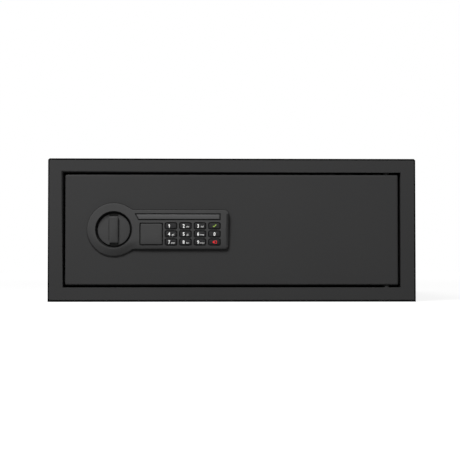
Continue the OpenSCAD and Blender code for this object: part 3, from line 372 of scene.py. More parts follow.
def make_finishes():
    """One material for each slot of the part, by the slot's name."""
    c = bpy.context.scene.safe_colours
    return {
        "case_steel": powder_coat("Cabinet powder coat", c.case_paint),
        "frame_paint": powder_coat("Frame powder coat", c.case_paint),
        "door_paint": powder_coat("Door powder coat", c.door_paint),
        "lock_plastic": moulded_plastic("Lock plate plastic", c.plate_plastic),
        "knob_plastic": moulded_plastic("Knob plastic", c.knob_plastic, 0.46),
        "strip_plastic": moulded_plastic(
            "Smoked strip plastic", c.strip_plastic, 0.42, 0.15, 5000.0, 0.00001),
        "key_rubber": key_rubber("Key rubber", c.key_rubber),
        "pad_rubber": key_rubber("Stop pad rubber", (0.010, 0.010, 0.010)),
        "membrane_rubber": key_rubber("Membrane rubber", (0.045, 0.045, 0.048)),
        "mat_fabric": felt("Floor felt", c.mat_felt),
        "zinc_steel": plated_steel("Zinc plated steel", (0.58, 0.59, 0.60)),
        "bolt_chrome": turned_metal("Chromed steel", (0.72, 0.73, 0.75), 0.17),
        "brass_parts": turned_metal("Turned brass", (0.66, 0.46, 0.18), 0.27, "Y"),
        "cylinder_steel": turned_metal("Nickel plated cylinder", (0.62, 0.61, 0.58), 0.24, "Y", 1500.0),
        "spacer_nylon": moulded_plastic("Natural nylon", (0.62, 0.58, 0.48), 0.5, 0.4),
        "coil_wire": wound_wire("Enamelled coil wire", (0.42, 0.12, 0.035)),
        "board_green": circuit_board("Green circuit board", (0.012, 0.095, 0.03)),
        "cover_plastic": moulded_plastic(
            "Inner cover plastic", (0.014, 0.0142, 0.0146), 0.58, 0.35, 1500.0, 0.00005),
        "cell_wrap": moulded_plastic("Cell wrap", (0.16, 0.17, 0.19), 0.3, 0.5, 4000.0, 0.00001),
        "wire_pvc": wire_sleeve("Red wire sleeve", (0.42, 0.035, 0.02)),
        "reset_red": moulded_plastic("Red button plastic", (0.33, 0.02, 0.012), 0.38, 0.5),
    }


FINISHES = {}


def finish_of(slot):
    if not FINISHES:
        FINISHES.update(make_finishes())
    return FINISHES[slot]


# Mesh making

def at_lock(x, depth, z):
    """A place in millimetres from the knob's axis: right, into the door, up."""
    return Vector((LOCK.x + x * MM, LOCK.y + depth * MM, LOCK.z + z * MM))


def in_scene(name, data):
    """An object for the data, linked to the scene."""
    piece = bpy.data.objects.new(name, data)
    bpy.context.scene.collection.objects.link(piece)
    return piece


def applied(piece):
    """The mesh of an object as its modifiers leave it. The object itself goes."""
    bpy.context.view_layer.update()
    made = bpy.data.meshes.new_from_object(piece.evaluated_get(bpy.context.evaluated_depsgraph_get()))
    bpy.data.objects.remove(piece)
    return made


def new_piece(name, mesh, body, slot=None, replaces=(), material=None, sharp=30.0, flat=False):
    """Puts a mesh in the scene as a piece of the safe that moves with its body.

    Edges turn sharp from that many degrees on. flat keeps large flat faces flat in the light,
    beside small rounded edges."""
    mesh.materials.clear()
    mesh.materials.append(material or finish_of(slot))
    bm = bmesh.new()
    bm.from_mesh(mesh)
    for face in bm.faces:
        face.smooth = True
        face.material_index = 0
    for edge in bm.edges:
        edge.smooth = len(edge.link_faces) == 2 and edge.calc_face_angle(0.0) < math.radians(sharp)
    bm.to_mesh(mesh)
    bm.free()
    if flat:
        mesh = weighted(mesh)
    mesh.name = name
    piece = in_scene(name, mesh)
    if body:
        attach(piece, body)
    if replaces:
        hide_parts(*replaces)
    return piece


def weighted(mesh):
    """The mesh with normals that follow its large faces."""
    piece = in_scene("weighted", mesh)
    step = piece.modifiers.new("normals", "WEIGHTED_NORMAL")
    step.keep_sharp = True
    step.weight = 100
    return applied(piece)


def mesh_of(bm, name="mesh"):
    bmesh.ops.recalc_face_normals(bm, faces=bm.faces)
    mesh = bpy.data.meshes.new(name)
    bm.to_mesh(mesh)
    bm.free()
    return mesh


def welded(node):
    """A joined-up copy of a CAD node's mesh, with its flat faces in one."""
    bm = bmesh.new()
    bm.from_mesh(frame["nodes"][node].data)
    for layer in list(bm.loops.layers.uv):
        bm.loops.layers.uv.remove(layer)
    bmesh.ops.remove_doubles(bm, verts=bm.verts, dist=2e-6)
    bmesh.ops.dissolve_limit(bm, angle_limit=math.radians(0.5), verts=bm.verts, edges=bm.edges)
    return bm


def combined(mesh, other, operation):
    """The two meshes joined, cut or crossed, as a new mesh."""
    piece, tool = in_scene("shape", mesh), in_scene("tool", other)
    step = piece.modifiers.new("cut", "BOOLEAN")
    step.operation = operation
    step.solver = "EXACT"
    step.object = tool
    made = applied(piece)
    bpy.data.objects.remove(tool)
    if len(made.polygons) < 6:
        raise RuntimeError("a cut of " + mesh.name + " left nothing")
    return made


def softened(mesh, width, segments=2, angle=28.0):
    """The mesh with its sharp edges rounded."""
    piece = in_scene("soft", mesh)
    step = piece.modifiers.new("round", "BEVEL")
    step.width = width
    step.segments = segments
    step.limit_method = "ANGLE"
    step.angle_limit = math.radians(angle)
    step.use_clamp_overlap = True
    step.miter_outer = "MITER_SHARP"
    return applied(piece)


def soft_copy(node, slot, width, segments=2):
    """The node's own shape with rounded edges, standing for it."""
    mesh = softened(mesh_of(welded(node)), width, segments)
    new_piece(node + "_dressed", mesh, body_of_node(node), slot, (node,), sharp=60.0, flat=True)


def rounded_rect(w, h, r, steps=6, cx=0.0, cz=0.0):
    r = max(min(r, w / 2 - 0.01, h / 2 - 0.01), 0.05)
    points = []
    for sx, sz, start in ((1, 1, 0), (-1, 1, 90), (-1, -1, 180), (1, -1, 270)):
        for i in range(steps + 1):
            a = math.radians(start + 90 * i / steps)
            points.append((cx + sx * (w / 2 - r) + r * math.cos(a), cz + sz * (h / 2 - r) + r * math.sin(a)))
    return points


def ring_outline(r, steps=96):
    return [(r * math.cos(2 * math.pi * i / steps), r * math.sin(2 * math.pi * i / steps))
            for i in range(steps)]


def inside(point, outline, clear):
    """True if the point lies in the outline and at least clear from it."""
    x, z = point
    within = False
    for (ax, az), (bx, bz) in zip(outline, outline[1:] + outline[:1]):
        if (az > z) != (bz > z) and x < (bx - ax) * (z - az) / (bz - az) + ax:
            within = not within
        dx, dz = bx - ax, bz - az
        length = dx * dx + dz * dz
        t = 0.0 if length < 1e-12 else max(0.0, min(1.0, ((x - ax) * dx + (z - az) * dz) / length))
        if math.hypot(x - ax - t * dx, z - az - t * dz) < clear:
            return False
    return within


def skinned(bm, rings):
    """Faces from each ring of points to the next."""
    for low, high in zip(rings, rings[1:]):
        for i in range(len(low)):
            j = (i + 1) % len(low)
            bm.faces.new((low[i], low[j], high[j], high[i]))


def crowned(bm, outline, rolls, front, back, grid):
    """A solid drawn by outline(inset), whose front lies at depth front(x, z).

    rolls are (inset, depth below the front) from the side to the face, back is the depth of its
    flat back, and grid the spacing of the points that carry the crown. Millimetres throughout."""
    rings = [[bm.verts.new(at_lock(x, back, z)) for x, z in outline(rolls[0][0])]]
    for inset, lower in rolls:
        rings.append([bm.verts.new(at_lock(x, front(x, z) + lower, z)) for x, z in outline(inset)])
    bm.faces.new(rings[0])
    skinned(bm, rings)
    edge = outline(rolls[-1][0])
    count = len(edge)
    xs, zs = [p[0] for p in edge], [p[1] for p in edge]
    points = list(edge)
    for i in range(1, int((max(xs) - min(xs)) / grid) + 1):
        for j in range(1, int((max(zs) - min(zs)) / grid) + 1):
            p = (min(xs) + i * grid, min(zs) + j * grid)
            if inside(p, edge, 0.45 * grid):
                points.append(p)
    out = geometry.delaunay_2d_cdt([Vector(p) for p in points], [], [list(range(count))], 1, 1e-5)
    verts = []
    for place, origins in zip(out[0], out[3]):
        known = [o for o in origins if o < count]
        verts.append(rings[-1][known[0]] if known else
                     bm.verts.new(at_lock(place.x, front(place.x, place.y), place.y)))
    for face in out[2]:
        corners = [verts[i] for i in face]
        if len(set(corners)) == len(corners):
            bm.faces.new(corners)


def lofted(bm, rings):
    """A closed solid through rings of places, with flat ends."""
    made = [[bm.verts.new(p) for p in ring] for ring in rings]
    skinned(bm, made)
    bm.faces.new(made[0])
    bm.faces.new(made[-1])


def band(bm, outline, section):
    """A closed band round an outline. Its section runs through (value for the outline, depth)."""
    rings = [[bm.verts.new(at_lock(x, depth, z)) for x, z in outline(value)] for value, depth in section]
    skinned(bm, rings + rings[:1])


def prism(bm, outline, start, end):
    lofted(bm, [[at_lock(x, depth, z) for x, z in outline] for depth in (start, end)])


def sliced(bm, axis, place):
    """Cuts all faces where x (axis 0) or y (axis 1) has that value."""
    normal = Vector((1, 0, 0)) if axis == 0 else Vector((0, 1, 0))
    bmesh.ops.bisect_plane(bm, geom=bm.verts[:] + bm.edges[:] + bm.faces[:],
                           plane_co=normal * place, plane_no=normal)


# Crown of the lock plate

def smooth_min(a, b, k):
    h = max(k - abs(a - b), 0.0) / k
    return min(a, b) - h * h * k / 4


def edge_distance(x, z):
    """How far a place on the lock plate lies in from its edge, blended at corners and necks."""
    corner_blend, neck_blend, arm_root = 5.0, 6.0, 10.0
    half = bpy.context.scene.safe_sizes.arm_height / MM / 2
    arm = min(smooth_min(half - abs(z), ARM_REACH - x, corner_blend), x + arm_root)
    return max(-smooth_min(-(RING_R - math.hypot(x, z)), -arm, neck_blend), 0.0)


def eased(value):
    value = max(0.0, min(1.0, value))
    return value * value * (3 - 2 * value)


def falling(clear, reach, power):
    """From 1 at the plate's edge to 0 at reach inward."""
    return (1.0 - min(clear, reach) / reach) ** power


def plate_front(x, z):
    """Depth of the lock plate's face, which falls off most along its lower edge."""
    # How far in from the edge each fall begins, and the lip's and ring's own measures
    arm_in, lip_in, ring_in, lip_fall, ring_share, ring_power = 18.0, 3.0, 10.0, 1.3, 1.9, 1.1
    # Where the ring's fall gives way to the arm's, and the upper edge's share of the lower's
    ring_end, ring_blend, top_share, low_start, low_blend = 34.0, 16.0, 0.06, 5.0, 30.0
    crown = bpy.context.scene.safe_sizes.crown / MM
    clear = edge_distance(x, z)
    arm_fall = crown * falling(clear, arm_in, 2) + lip_fall * falling(clear, lip_in, 2)
    ring_fall = ring_share * crown * falling(clear, ring_in, ring_power)
    on_ring = eased((ring_end - x) / ring_blend)
    low_down = top_share + (1 - top_share) * eased((low_start - z) / low_blend)
    return PLATE_FACE + low_down * (arm_fall + on_ring * (ring_fall - arm_fall))


def lock_outline(inset):
    """Round end, straight necks and arm in one line."""
    half = bpy.context.scene.safe_sizes.arm_height / MM / 2 - inset
    reach = ARM_REACH - inset
    r = RING_R - inset
    corner = max(ARM_CORNER - inset, 0.3)
    neck = math.radians(NECK_ANGLE)
    foot = r * math.cos(neck) + (r * math.sin(neck) - half) * math.tan(neck)
    points = []
    for start, cz in ((-90, -half + corner), (0, half - corner)):
        for i in range(9):
            a = math.radians(start + 90 * i / 8)
            points.append((reach - corner + corner * math.cos(a), cz + corner * math.sin(a)))
    far = reach - corner
    points += [(far + (foot - far) * i / 24, half) for i in range(1, 25)]
    for i in range(97):
        a = math.radians(NECK_ANGLE + (360 - 2 * NECK_ANGLE) * i / 96)
        points.append((r * math.cos(a), r * math.sin(a)))
    points += [(foot + (far - foot) * i / 24, -half) for i in range(24)]
    return points


def strip_outline(gap):
    """The strip's recess with its leaning left end, drawn in by a gap."""
    half = STRIP_H / 2 - gap
    lean = STRIP_SLANT / STRIP_H
    side = gap * math.sqrt(1 + lean * lean)
    right = STRIP_X1 - gap
    corners = ((STRIP_X0 + STRIP_SLANT + side - gap * lean, STRIP_Z - half), (right, STRIP_Z - half),
               (right, STRIP_Z + half), (STRIP_X0 + side + gap * lean, STRIP_Z + half))
    points = []
    for (ax, az), (bx, bz), steps in zip(corners, corners[1:] + corners[:1], (40, 3, 40, 3)):
        points += [(ax + (bx - ax) * i / steps, az + (bz - az) * i / steps) for i in range(steps)]
    return points


def key_window(key):
    """Outline of the key's window in the plate, set out by a distance."""
    cx, cz = centre_of(key)
    return lambda out: rounded_rect(KEY_W + 2 * (KEY_GAP + out), KEY_H + 2 * (KEY_GAP + out),
                                    KEY_CORNER + KEY_GAP + out, 6, cx, cz)


def badge_window(out):
    return rounded_rect(BADGE_W + 2 * out, BADGE_H + 2 * out, 1.2 + out, 5, BADGE_X, BADGE_Z)


def well_outline(radius):
    return ring_outline(radius, 144)


def rim_cutter(bm, outline):
    """Adds the solid that cuts the chamfer round an opening drawn by outline(outset)."""
    width = bpy.context.scene.safe_sizes.rim / MM
    lofted(bm, [[at_lock(x, plate_front(x, z) + lower, z) for x, z in outline(outset)]
                for outset, lower in ((-0.3, width + 0.3), (width, -0.02), (width, -1.5))])


def plate_shape():
    """The lock plate's solid with its crown, rims and recesses."""
    bm = bmesh.new()
    rolls = ((0.6, 0.85), (0.66, 0.52), (0.78, 0.28), (0.95, 0.12), (1.2, 0.04), (1.6, 0.0), (2.9, 0.0))
    crowned(bm, lock_outline, rolls, plate_front, 16.0, 1.8)
    body = mesh_of(bm, "crowned body")
    # The well's wall carried straight up to the face
    front, foot = PLATE_FACE - 0.6, PLATE_FACE + 2.5
    mouth, throat, outer = WELL_R + 0.14, WELL_R - 0.52, WELL_R + 2.7
    bm = bmesh.new()
    band(bm, well_outline, ((mouth, front), (throat, foot), (outer, foot), (outer, front)))
    plate = combined(mesh_of(welded("lock_plate")), mesh_of(bm, "well wall"), "UNION")
    plate = combined(plate, body, "INTERSECT")
    bm = bmesh.new()
    for key in KEY_LABELS:
        rim_cutter(bm, key_window(key))
    rim_cutter(bm, badge_window)
    plate = combined(plate, mesh_of(bm, "rims"), "DIFFERENCE")
    # The well's rim has a cut of its own, because its cutter runs into the badge's
    bm = bmesh.new()
    rim_cutter(bm, lambda out: well_outline(WELL_R + out))
    plate = combined(plate, mesh_of(bm, "well rim"), "DIFFERENCE")
    # Deep recesses for the strip and the badge, so that their edges read as dark lines
    bm = bmesh.new()
    prism(bm, strip_outline(-0.35), IN_FRONT, STRIP_FLOOR)
    prism(bm, rounded_rect(BADGE_W + 0.4, BADGE_H + 0.4, 1.4, 6, BADGE_X, BADGE_Z), IN_FRONT, BADGE_FLOOR)
    return combined(plate, mesh_of(bm, "recesses"), "DIFFERENCE")


def grain_and_shade_recesses(piece):
    """Gives the well's wall and the recesses a coarser grain and a painted shade: the face's plastic at 0.45
    of its colour, so they read darker where shade falls.
    """
    wall_slack, least_depth, rim_width = 0.06, 0.45, 1.5
    # Painted shade: a copy of the plate's plastic at 0.45 of its colour, for the well's wall and the recesses
    colour = [0.45 * c for c in bpy.context.scene.safe_colours.plate_plastic]
    piece.data.materials.append(moulded_plastic("Recess grain and painted shade", colour, 0.6, 0.03, 1500.0, 0.00005))
    finishes = {}
    for polygon in piece.data.polygons:
        place = (polygon.center - LOCK) / MM
        radius = math.hypot(place.x, place.z)
        toward_axis = -(polygon.normal.x * place.x + polygon.normal.z * place.z) / max(radius, 0.01)
        # Faces on the well's wall or deep in a recess take the painted shade
        wall = radius < WELL_R + wall_slack and toward_axis > 0.5
        deep = place.y - plate_front(place.x, place.z) > least_depth
        sunk = deep and edge_distance(place.x, place.z) > rim_width
        polygon.material_index = int(wall or sunk)
        for pair in polygon.edge_keys:
            finishes.setdefault(pair, set()).add(polygon.material_index)
    for edge in piece.data.edges:
        if len(finishes.get(edge.key, ())) > 1:
            edge.use_edge_sharp = True
    piece.data = weighted(piece.data)


def make_lock_plate():
    grain_and_shade_recesses(new_piece("lock_plate_moulding", plate_shape(), "door", "lock_plastic", ("lock_plate",),
                             sharp=22.0))


def make_shade_seal():
    """Thin black rubber seal round the plate's foot, put there as painted shade: its dark band stands in for
    the shade line round the plate's edge.
    """
    inner, outer, front, foot = 0.58, -0.35, -0.8, -0.01
    bm = bmesh.new()
    band(bm, lock_outline, ((inner, front), (outer, front), (outer, foot), (inner, foot)))
    # Painted shade: a black band round the plate's foot, where the shade line falls
    new_piece("lock_plate_shade_seal", mesh_of(bm), "door", material=finish_of("pad_rubber"))


def make_strip():
    bm = bmesh.new()
    crowned(bm, lambda inset: strip_outline(STRIP_GAP + inset), ((0.0, 0.25), (0.06, 0.12), (0.2, 0.06)),
            plate_front, STRIP_FLOOR - 0.02, 2.0)
    new_piece("indicator_strip_lens", mesh_of(bm), "door", "strip_plastic", ("indicator_strip",), sharp=22.0)


def make_badge():
    """The bare cover plate, with a lug on its back at each side."""
    back, corner, crown_share = PLATE_FACE + 1.6, 1.0, 0.95
    lug_w, lug_h, lug_inset, lug_start, lug_end = 1.4, 4.0, 4, PLATE_FACE + 1.5, PLATE_FACE + 5.0

    def outline(inset):
        gap = BADGE_GAP + inset
        return rounded_rect(BADGE_W - 2 * gap, BADGE_H - 2 * gap, corner - inset, 5, BADGE_X, BADGE_Z)

    bm = bmesh.new()
    crowned(bm, outline, ((0.0, 0.3), (0.08, 0.14), (0.28, 0.04), (0.55, 0.0)),
            lambda x, z: PLATE_FACE + crown_share * (plate_front(x, z) - PLATE_FACE), back, 2.2)
    for side in (-1, 1):
        place = BADGE_X + side * (BADGE_W / 2 - lug_inset)
        prism(bm, rounded_rect(lug_w, lug_h, 0.3, 3, place, BADGE_Z), lug_start, lug_end)
    new_piece("badge_cover_moulding", mesh_of(bm), "badge", "lock_plastic", ("badge_cover",), sharp=22.0)


# Keys and their print

def key_front(cx, cz):
    """Depth of a key's face, which follows the plate's and falls towards its corners."""
    def front(x, z):
        across, up = (x - cx) / (KEY_W / 2), (z - cz) / (KEY_H / 2)
        return plate_front(x, z) - KEY_PROUD + KEY_DOME * (across ** 2 + up ** 2) / 2
    return front


def make_key(name):
    """A key's cap, the flange that keeps it behind its window, and the stem on its contact."""
    cx, cz = centre_of(name)
    flange_w, flange_h, flange_end = KEY_W + 1 + 2 * KEY_GAP, KEY_H + 0.5 + 2 * KEY_GAP, KEY_BACK + 0.9
    stem_w, stem_h, stem_corner, stem_end = 0.4 * KEY_W, 0.45 * KEY_H, 0.7, KEY_BACK + 1.4
    bm = bmesh.new()
    crowned(bm, lambda inset: rounded_rect(KEY_W - 2 * inset, KEY_H - 2 * inset, KEY_CORNER - 0.4 * inset,
                                           6, cx, cz),
            ((0.0, 0.75), (0.06, 0.42), (0.22, 0.17), (0.45, 0.05), (0.8, 0.0)),
            key_front(cx, cz), KEY_BACK, 1.1)
    prism(bm, rounded_rect(flange_w, flange_h, KEY_CORNER, 6, cx, cz), KEY_BACK, flange_end)
    prism(bm, rounded_rect(stem_w, stem_h, stem_corner, 4, cx, cz), flange_end, stem_end)
    new_piece(name + "_cap", mesh_of(bm), name, "key_rubber", (name,), sharp=25.0)


def letters_mesh(text, weight):
    """Flat outlines of a word, one unit high, from Blender's own letters."""
    curve = bpy.data.curves.new("word", "FONT")
    curve.body = text
    curve.offset = weight
    curve.resolution_u = 4
    curve.align_x = "CENTER"
    return applied(in_scene("word", curve))


def height_of(text):
    ys = [v.co.y for v in letters_mesh(text, 0.0).vertices]
    return min(ys), max(ys)


def print_on_key(name, key, mesh, material, scale=1.0, squeeze=1.0, right=0.0, up=0.0):
    """Lays flat outlines on a key's face as a thin print, moved right and up from its middle."""
    below, above, slice_size = 0.06, 0.04, 0.6
    kx, kz = centre_of(key)
    front = key_front(kx, kz)

    def on_key(v):
        return kx + right + v.co.x * scale * squeeze, kz + up + v.co.y * scale

    bm = bmesh.new()
    bm.from_mesh(mesh)
    bmesh.ops.remove_doubles(bm, verts=bm.verts, dist=1e-5)
    # Sliced finely, so that the print follows the key's domed face
    for axis, unit in ((0, slice_size / scale / squeeze), (1, slice_size / scale)):
        across = [v.co[axis] for v in bm.verts]
        low, high = min(across), max(across)
        for i in range(1, math.ceil((high - low) / unit)):
            sliced(bm, axis, low + i * unit)
    places = [on_key(v) for v in bm.verts]
    made = bmesh.ops.extrude_face_region(bm, geom=bm.faces[:])
    top = [g for g in made["geom"] if isinstance(g, bmesh.types.BMVert)]
    bm.verts.ensure_lookup_table()
    for v, (x, z) in zip(bm.verts, places):
        v.co = at_lock(x, front(x, z) + below, z)
    for v in top:
        x, z = on_key(v)
        v.co = at_lock(x, front(x, z) - above, z)
    new_piece(name, mesh_of(bm), key, material=material, sharp=25.0)


def polygon_mesh(outlines):
    points, faces = [], []
    for outline in outlines:
        faces.append(list(range(len(points), len(points) + len(outline))))
        points += [(x, y, 0.0) for x, y in outline]
    mesh = bpy.data.meshes.new("mark")
    mesh.from_pydata(points, [], faces)
    return mesh


def box_outline(x0, x1, y0, y1):
    return [(x0, y1), (x1, y1), (x1, y0), (x0, y0)]


def make_print():
    """Digits at the left of each key, small letters low at its right, and the two marks."""
    digit_h, letter_h, digit_left, letters_right, letters_down, weight = 4.1, 1.3, -2.3, 2.6, -1.75, 0.02
    colours = bpy.context.scene.safe_colours
    white = printed_ink("White legend print", colours.legend)
    small = printed_ink("Small letter print", [0.6 * c for c in colours.legend])
    low, high = height_of("0")
    digit_scale, digit_mid = digit_h / (high - low), (low + high) / 2
    x_low, x_high = height_of("x")
    letter_scale = letter_h / (x_high - x_low)
    one = [(-1.15, 0.95), (0.0, 2.05), (0.8, 2.05), (0.8, -2.05), (-0.15, -2.05), (-0.15, 0.85), (-0.75, 0.3)]
    for key, (digit, letters) in KEY_LABELS.items():
        if digit == "1":
            print_on_key(key + "_digit", key, polygon_mesh([one]), white, right=digit_left)
        elif digit:
            print_on_key(key + "_digit", key, letters_mesh(digit, weight), white, digit_scale, 0.86,
                         0.0 if digit == "0" else digit_left, -digit_mid * digit_scale)
        if letters:
            print_on_key(key + "_letters", key, letters_mesh(letters, weight), small, letter_scale, 0.95,
                         letters_right, letters_down)
    tick = [(-2.1, -0.2), (-1.5, 0.45), (-0.6, -0.55), (1.8, 2.1), (2.3, 1.6), (-0.6, -1.75)]
    print_on_key("key_confirm_tick", "key_confirm", polygon_mesh([tick]),
                 printed_ink("Green tick print", colours.confirm))
    head = [(-3.0, 0.0), (0.1, 1.9), (0.1, -1.9)]
    bars = [box_outline(0.4, 2.7, 1.35, 1.9), box_outline(0.4, 2.7, -1.9, -1.35),
            box_outline(2.15, 2.7, -1.3, 1.3)]
    print_on_key("key_clear_arrow", "key_clear", polygon_mesh([head] + bars),
                 printed_ink("Red clear print", colours.clear))


# Knob

def make_knob():
    """A dished disc with a grip bar across it, sunk in the well."""
    sunk, bar_w, bar_l, proud, dish, shaft_r = 3.5, 10.9, 33.0, 0.6, 0.7, 4.02
    pocket_w, pocket_l, pocket_out, pocket_depth = bar_w - 0.2, 10.0, 4.95, 3.4
    line_w, line_l, line_out, line_depth = 0.6, bar_l - 6.0, 0.7, 0.9
    face = PLATE_FACE + sunk
    back = (KNOB_HIGH.y - LOCK.y) / MM
    bm = bmesh.new()
    crowned(bm, lambda inset: ring_outline(KNOB_R - 0.02 - inset),
            ((0.0, 0.6), (0.08, 0.3), (0.3, 0.08), (0.65, 0.0)),
            lambda x, z: face + dish * (math.hypot(x, z) / KNOB_R) ** 2, back, 1.8)
    body = mesh_of(bm, "disc")
    # Finger pockets at the bar's ends, joint lines along its sides, and the shaft's bore
    bm = bmesh.new()
    for side in (-1, 1):
        prism(bm, rounded_rect(pocket_w, pocket_l, 0.6, 4, 0.0, side * (bar_l / 2 + pocket_out)),
              face - 3, face + pocket_depth)
        prism(bm, rounded_rect(line_w, line_l, 0.25, 3, side * (bar_w / 2 + line_out), 0.0),
              face - 1, face + line_depth)
    prism(bm, ring_outline(shaft_r, 48), -1.5, back + 1)
    body = combined(body, mesh_of(bm, "pockets"), "DIFFERENCE")

    # The bar's face falls to its sides, to both ends and once more to its lower end
    side_fall, end_fall, low_fall, side_reach, end_reach = 0.25, 0.35, 0.9, 5.4, bar_l / 2

    def bar_front(x, z):
        return (PLATE_FACE - proud + side_fall * (x / side_reach) ** 2 + end_fall * (z / end_reach) ** 2
                + low_fall * (min(z, 0.0) / end_reach) ** 2)

    bm = bmesh.new()
    crowned(bm, lambda inset: rounded_rect(bar_w - 2 * inset, bar_l - 2 * inset, 1.5 - 0.5 * inset, 5),
            ((0.0, 1.1), (0.1, 0.55), (0.4, 0.16), (0.9, 0.0)), bar_front, face + 1.2, 1.5)
    body = combined(body, mesh_of(bm, "grip"), "UNION")
    new_piece("knob_moulding", body, "knob", "knob_plastic", ("knob",), sharp=22.0)


# Folded steel

def rounded_edges(bm, chosen, width, segments):
    edges = [e for e in bm.edges if chosen(e)]
    if not edges:
        raise RuntimeError("found no edge to round")
    bmesh.ops.bevel(bm, geom=edges, offset=width, offset_type="OFFSET", segments=segments,
                    profile=0.5, affect="EDGES", clamp_overlap=True)


def make_door():
    """The door's panel with round bends where its edges are folded."""
    low, high = DOOR_LOW, DOOR_HIGH
    bm = welded("door_panel")

    def at_side(p):
        return min(abs(p.x - low.x), abs(p.x - high.x)) < NEAR

    def at_end(p):
        return min(abs(p.z - low.z), abs(p.z - high.z)) < NEAR

    def fold(e):
        a, b = (v.co for v in e.verts)
        if len(e.link_faces) != 2 or e.calc_face_angle(0.0) < math.radians(30):
            return False
        front = all(abs(p.y - low.y) < NEAR and (at_side(p) or at_end(p)) for p in (a, b))
        corner = abs(a.x - b.x) < NEAR and abs(a.z - b.z) < NEAR and at_side(a) and at_end(a)
        return front or corner

    rounded_edges(bm, fold, bpy.context.scene.safe_sizes.door_bend, 5)
    new_piece("door_skin", mesh_of(bm), "door", "door_paint", ("door_panel",), sharp=60.0, flat=True)


def make_face_frame():
    """The face frame, bent round beside the door and sharp above and below it."""
    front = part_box("face_frame")[0].y
    door_gap, bend_reach, tall = 0.0026, 3e-4, 0.05
    opening_half = (DOOR_HIGH.x - DOOR_LOW.x) / 2 + door_gap
    bm = welded("face_frame")

    def bend(e):
        a, b = (v.co for v in e.verts)
        return (all(abs(p.y - front) < NEAR and abs(abs(p.x) - opening_half) < bend_reach for p in (a, b))
                and abs(a.z - b.z) > tall)

    rounded_edges(bm, bend, bpy.context.scene.safe_sizes.frame_bend, 7)
    new_piece("face_frame_skin", mesh_of(bm), "case", "frame_paint", ("face_frame",), sharp=60.0, flat=True)


def make_wrap():
    """The case's wrap and floor, whose front edges are cut on a slant toward the seam and carry a painted
    shade.
    """
    half_sheet, slant, slack = 0.0006, 0.0022, 0.0001
    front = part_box("floor_plate")[0].y

    def slanted(name, node, chosen):
        low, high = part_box(node)
        bm = welded(node)
        for v in bm.verts:
            if abs(v.co.y - low.y) < NEAR and chosen(v.co, low, high):
                v.co.y += slant
        return new_piece(name, mesh_of(bm), "case", "case_steel", (node,), flat=True)

    pieces = (
        slanted("case_wrap_skin", "body_wrap", lambda p, low, high: (
            abs(p.x) < high.x - half_sheet and p.z < high.z - half_sheet)),
        slanted("case_floor_skin", "floor_plate", lambda p, low, high: p.z < low.z + half_sheet),
    )
    # Painted shade: the slanted front edges get a dull coat at 0.3 of the case paint, so that they read as a
    # dark line at the seam
    colour = [0.3 * c for c in bpy.context.scene.safe_colours.case_paint]
    dull_edge_shade = powder_coat("Cut edge dull coat and painted shade", colour, 0.8, 0.02)
    for piece in pieces:
        piece.data.materials.append(dull_edge_shade)
        for polygon in piece.data.polygons:
            if polygon.normal.y < -0.3 and polygon.center.y < front + slant + slack:
                polygon.material_index = 1


def make_spring():
    """Return spring of the solenoid, wound in the CAD spring's place."""
    low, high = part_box("plunger_spring")
    centre = (low + high) / 2
    wire, turns, steps, sides = 0.0003, 3.5, 40, 10
    coil = (high.x - low.x) / 2 - wire
    rings = []
    for i in range(int(turns * steps) + 1):
        turn = 2 * math.pi * i / steps
        height = low.z + wire + (high.z - low.z - 2 * wire) * i / (turns * steps)
        ring = []
        for k in range(sides):
            side = 2 * math.pi * k / sides
            r = coil + wire * math.cos(side)
            ring.append(Vector((centre.x + r * math.cos(turn), centre.y + r * math.sin(turn),
                                height + wire * math.sin(side))))
        rings.append(ring)
    bm = bmesh.new()
    lofted(bm, rings)
    piece = new_piece("solenoid_spring", mesh_of(bm), None, "bolt_chrome", ("plunger_spring",), sharp=60.0)
    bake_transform(piece)


def make_mat():
    """Felt cut to the floor, a little uneven on top and rounded along its cut edges."""
    grid, last_gap, ripple, unevenness, edge_fall, edge_reach = 0.012, 0.002, 22.0, 0.00035, 0.0005, 0.004
    low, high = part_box("floor_mat")
    bm = welded("floor_mat")
    for axis in (0, 1):
        place = low[axis] + grid
        while place < high[axis] - last_gap:
            sliced(bm, axis, place)
            place += grid
    for v in bm.verts:
        if v.co.z > high.z - 1e-5:
            edge = min(v.co.x - low.x, high.x - v.co.x, v.co.y - low.y, high.y - v.co.y)
            wave = 0.5 + 0.5 * noise.noise(v.co * ripple)
            v.co.z -= unevenness * wave + edge_fall * (1 - min(edge / edge_reach, 1.0))
    mesh = softened(mesh_of(bm), 0.0007, 2, 50.0)
    piece = new_piece("floor_felt", mesh, "case", "mat_fabric", ("floor_mat",), sharp=60.0)


# Operators

CAMERA_PLACE = (-0.0371, -1.69755, 0.0453)
CAMERA_TURN = (91.674, 0.0, -1.307)
LAMP_AIM = Vector((0.0, -0.1, 0.09))
FLOOR_HALF = 5.0
WHITE = (1, 1, 1, 1)


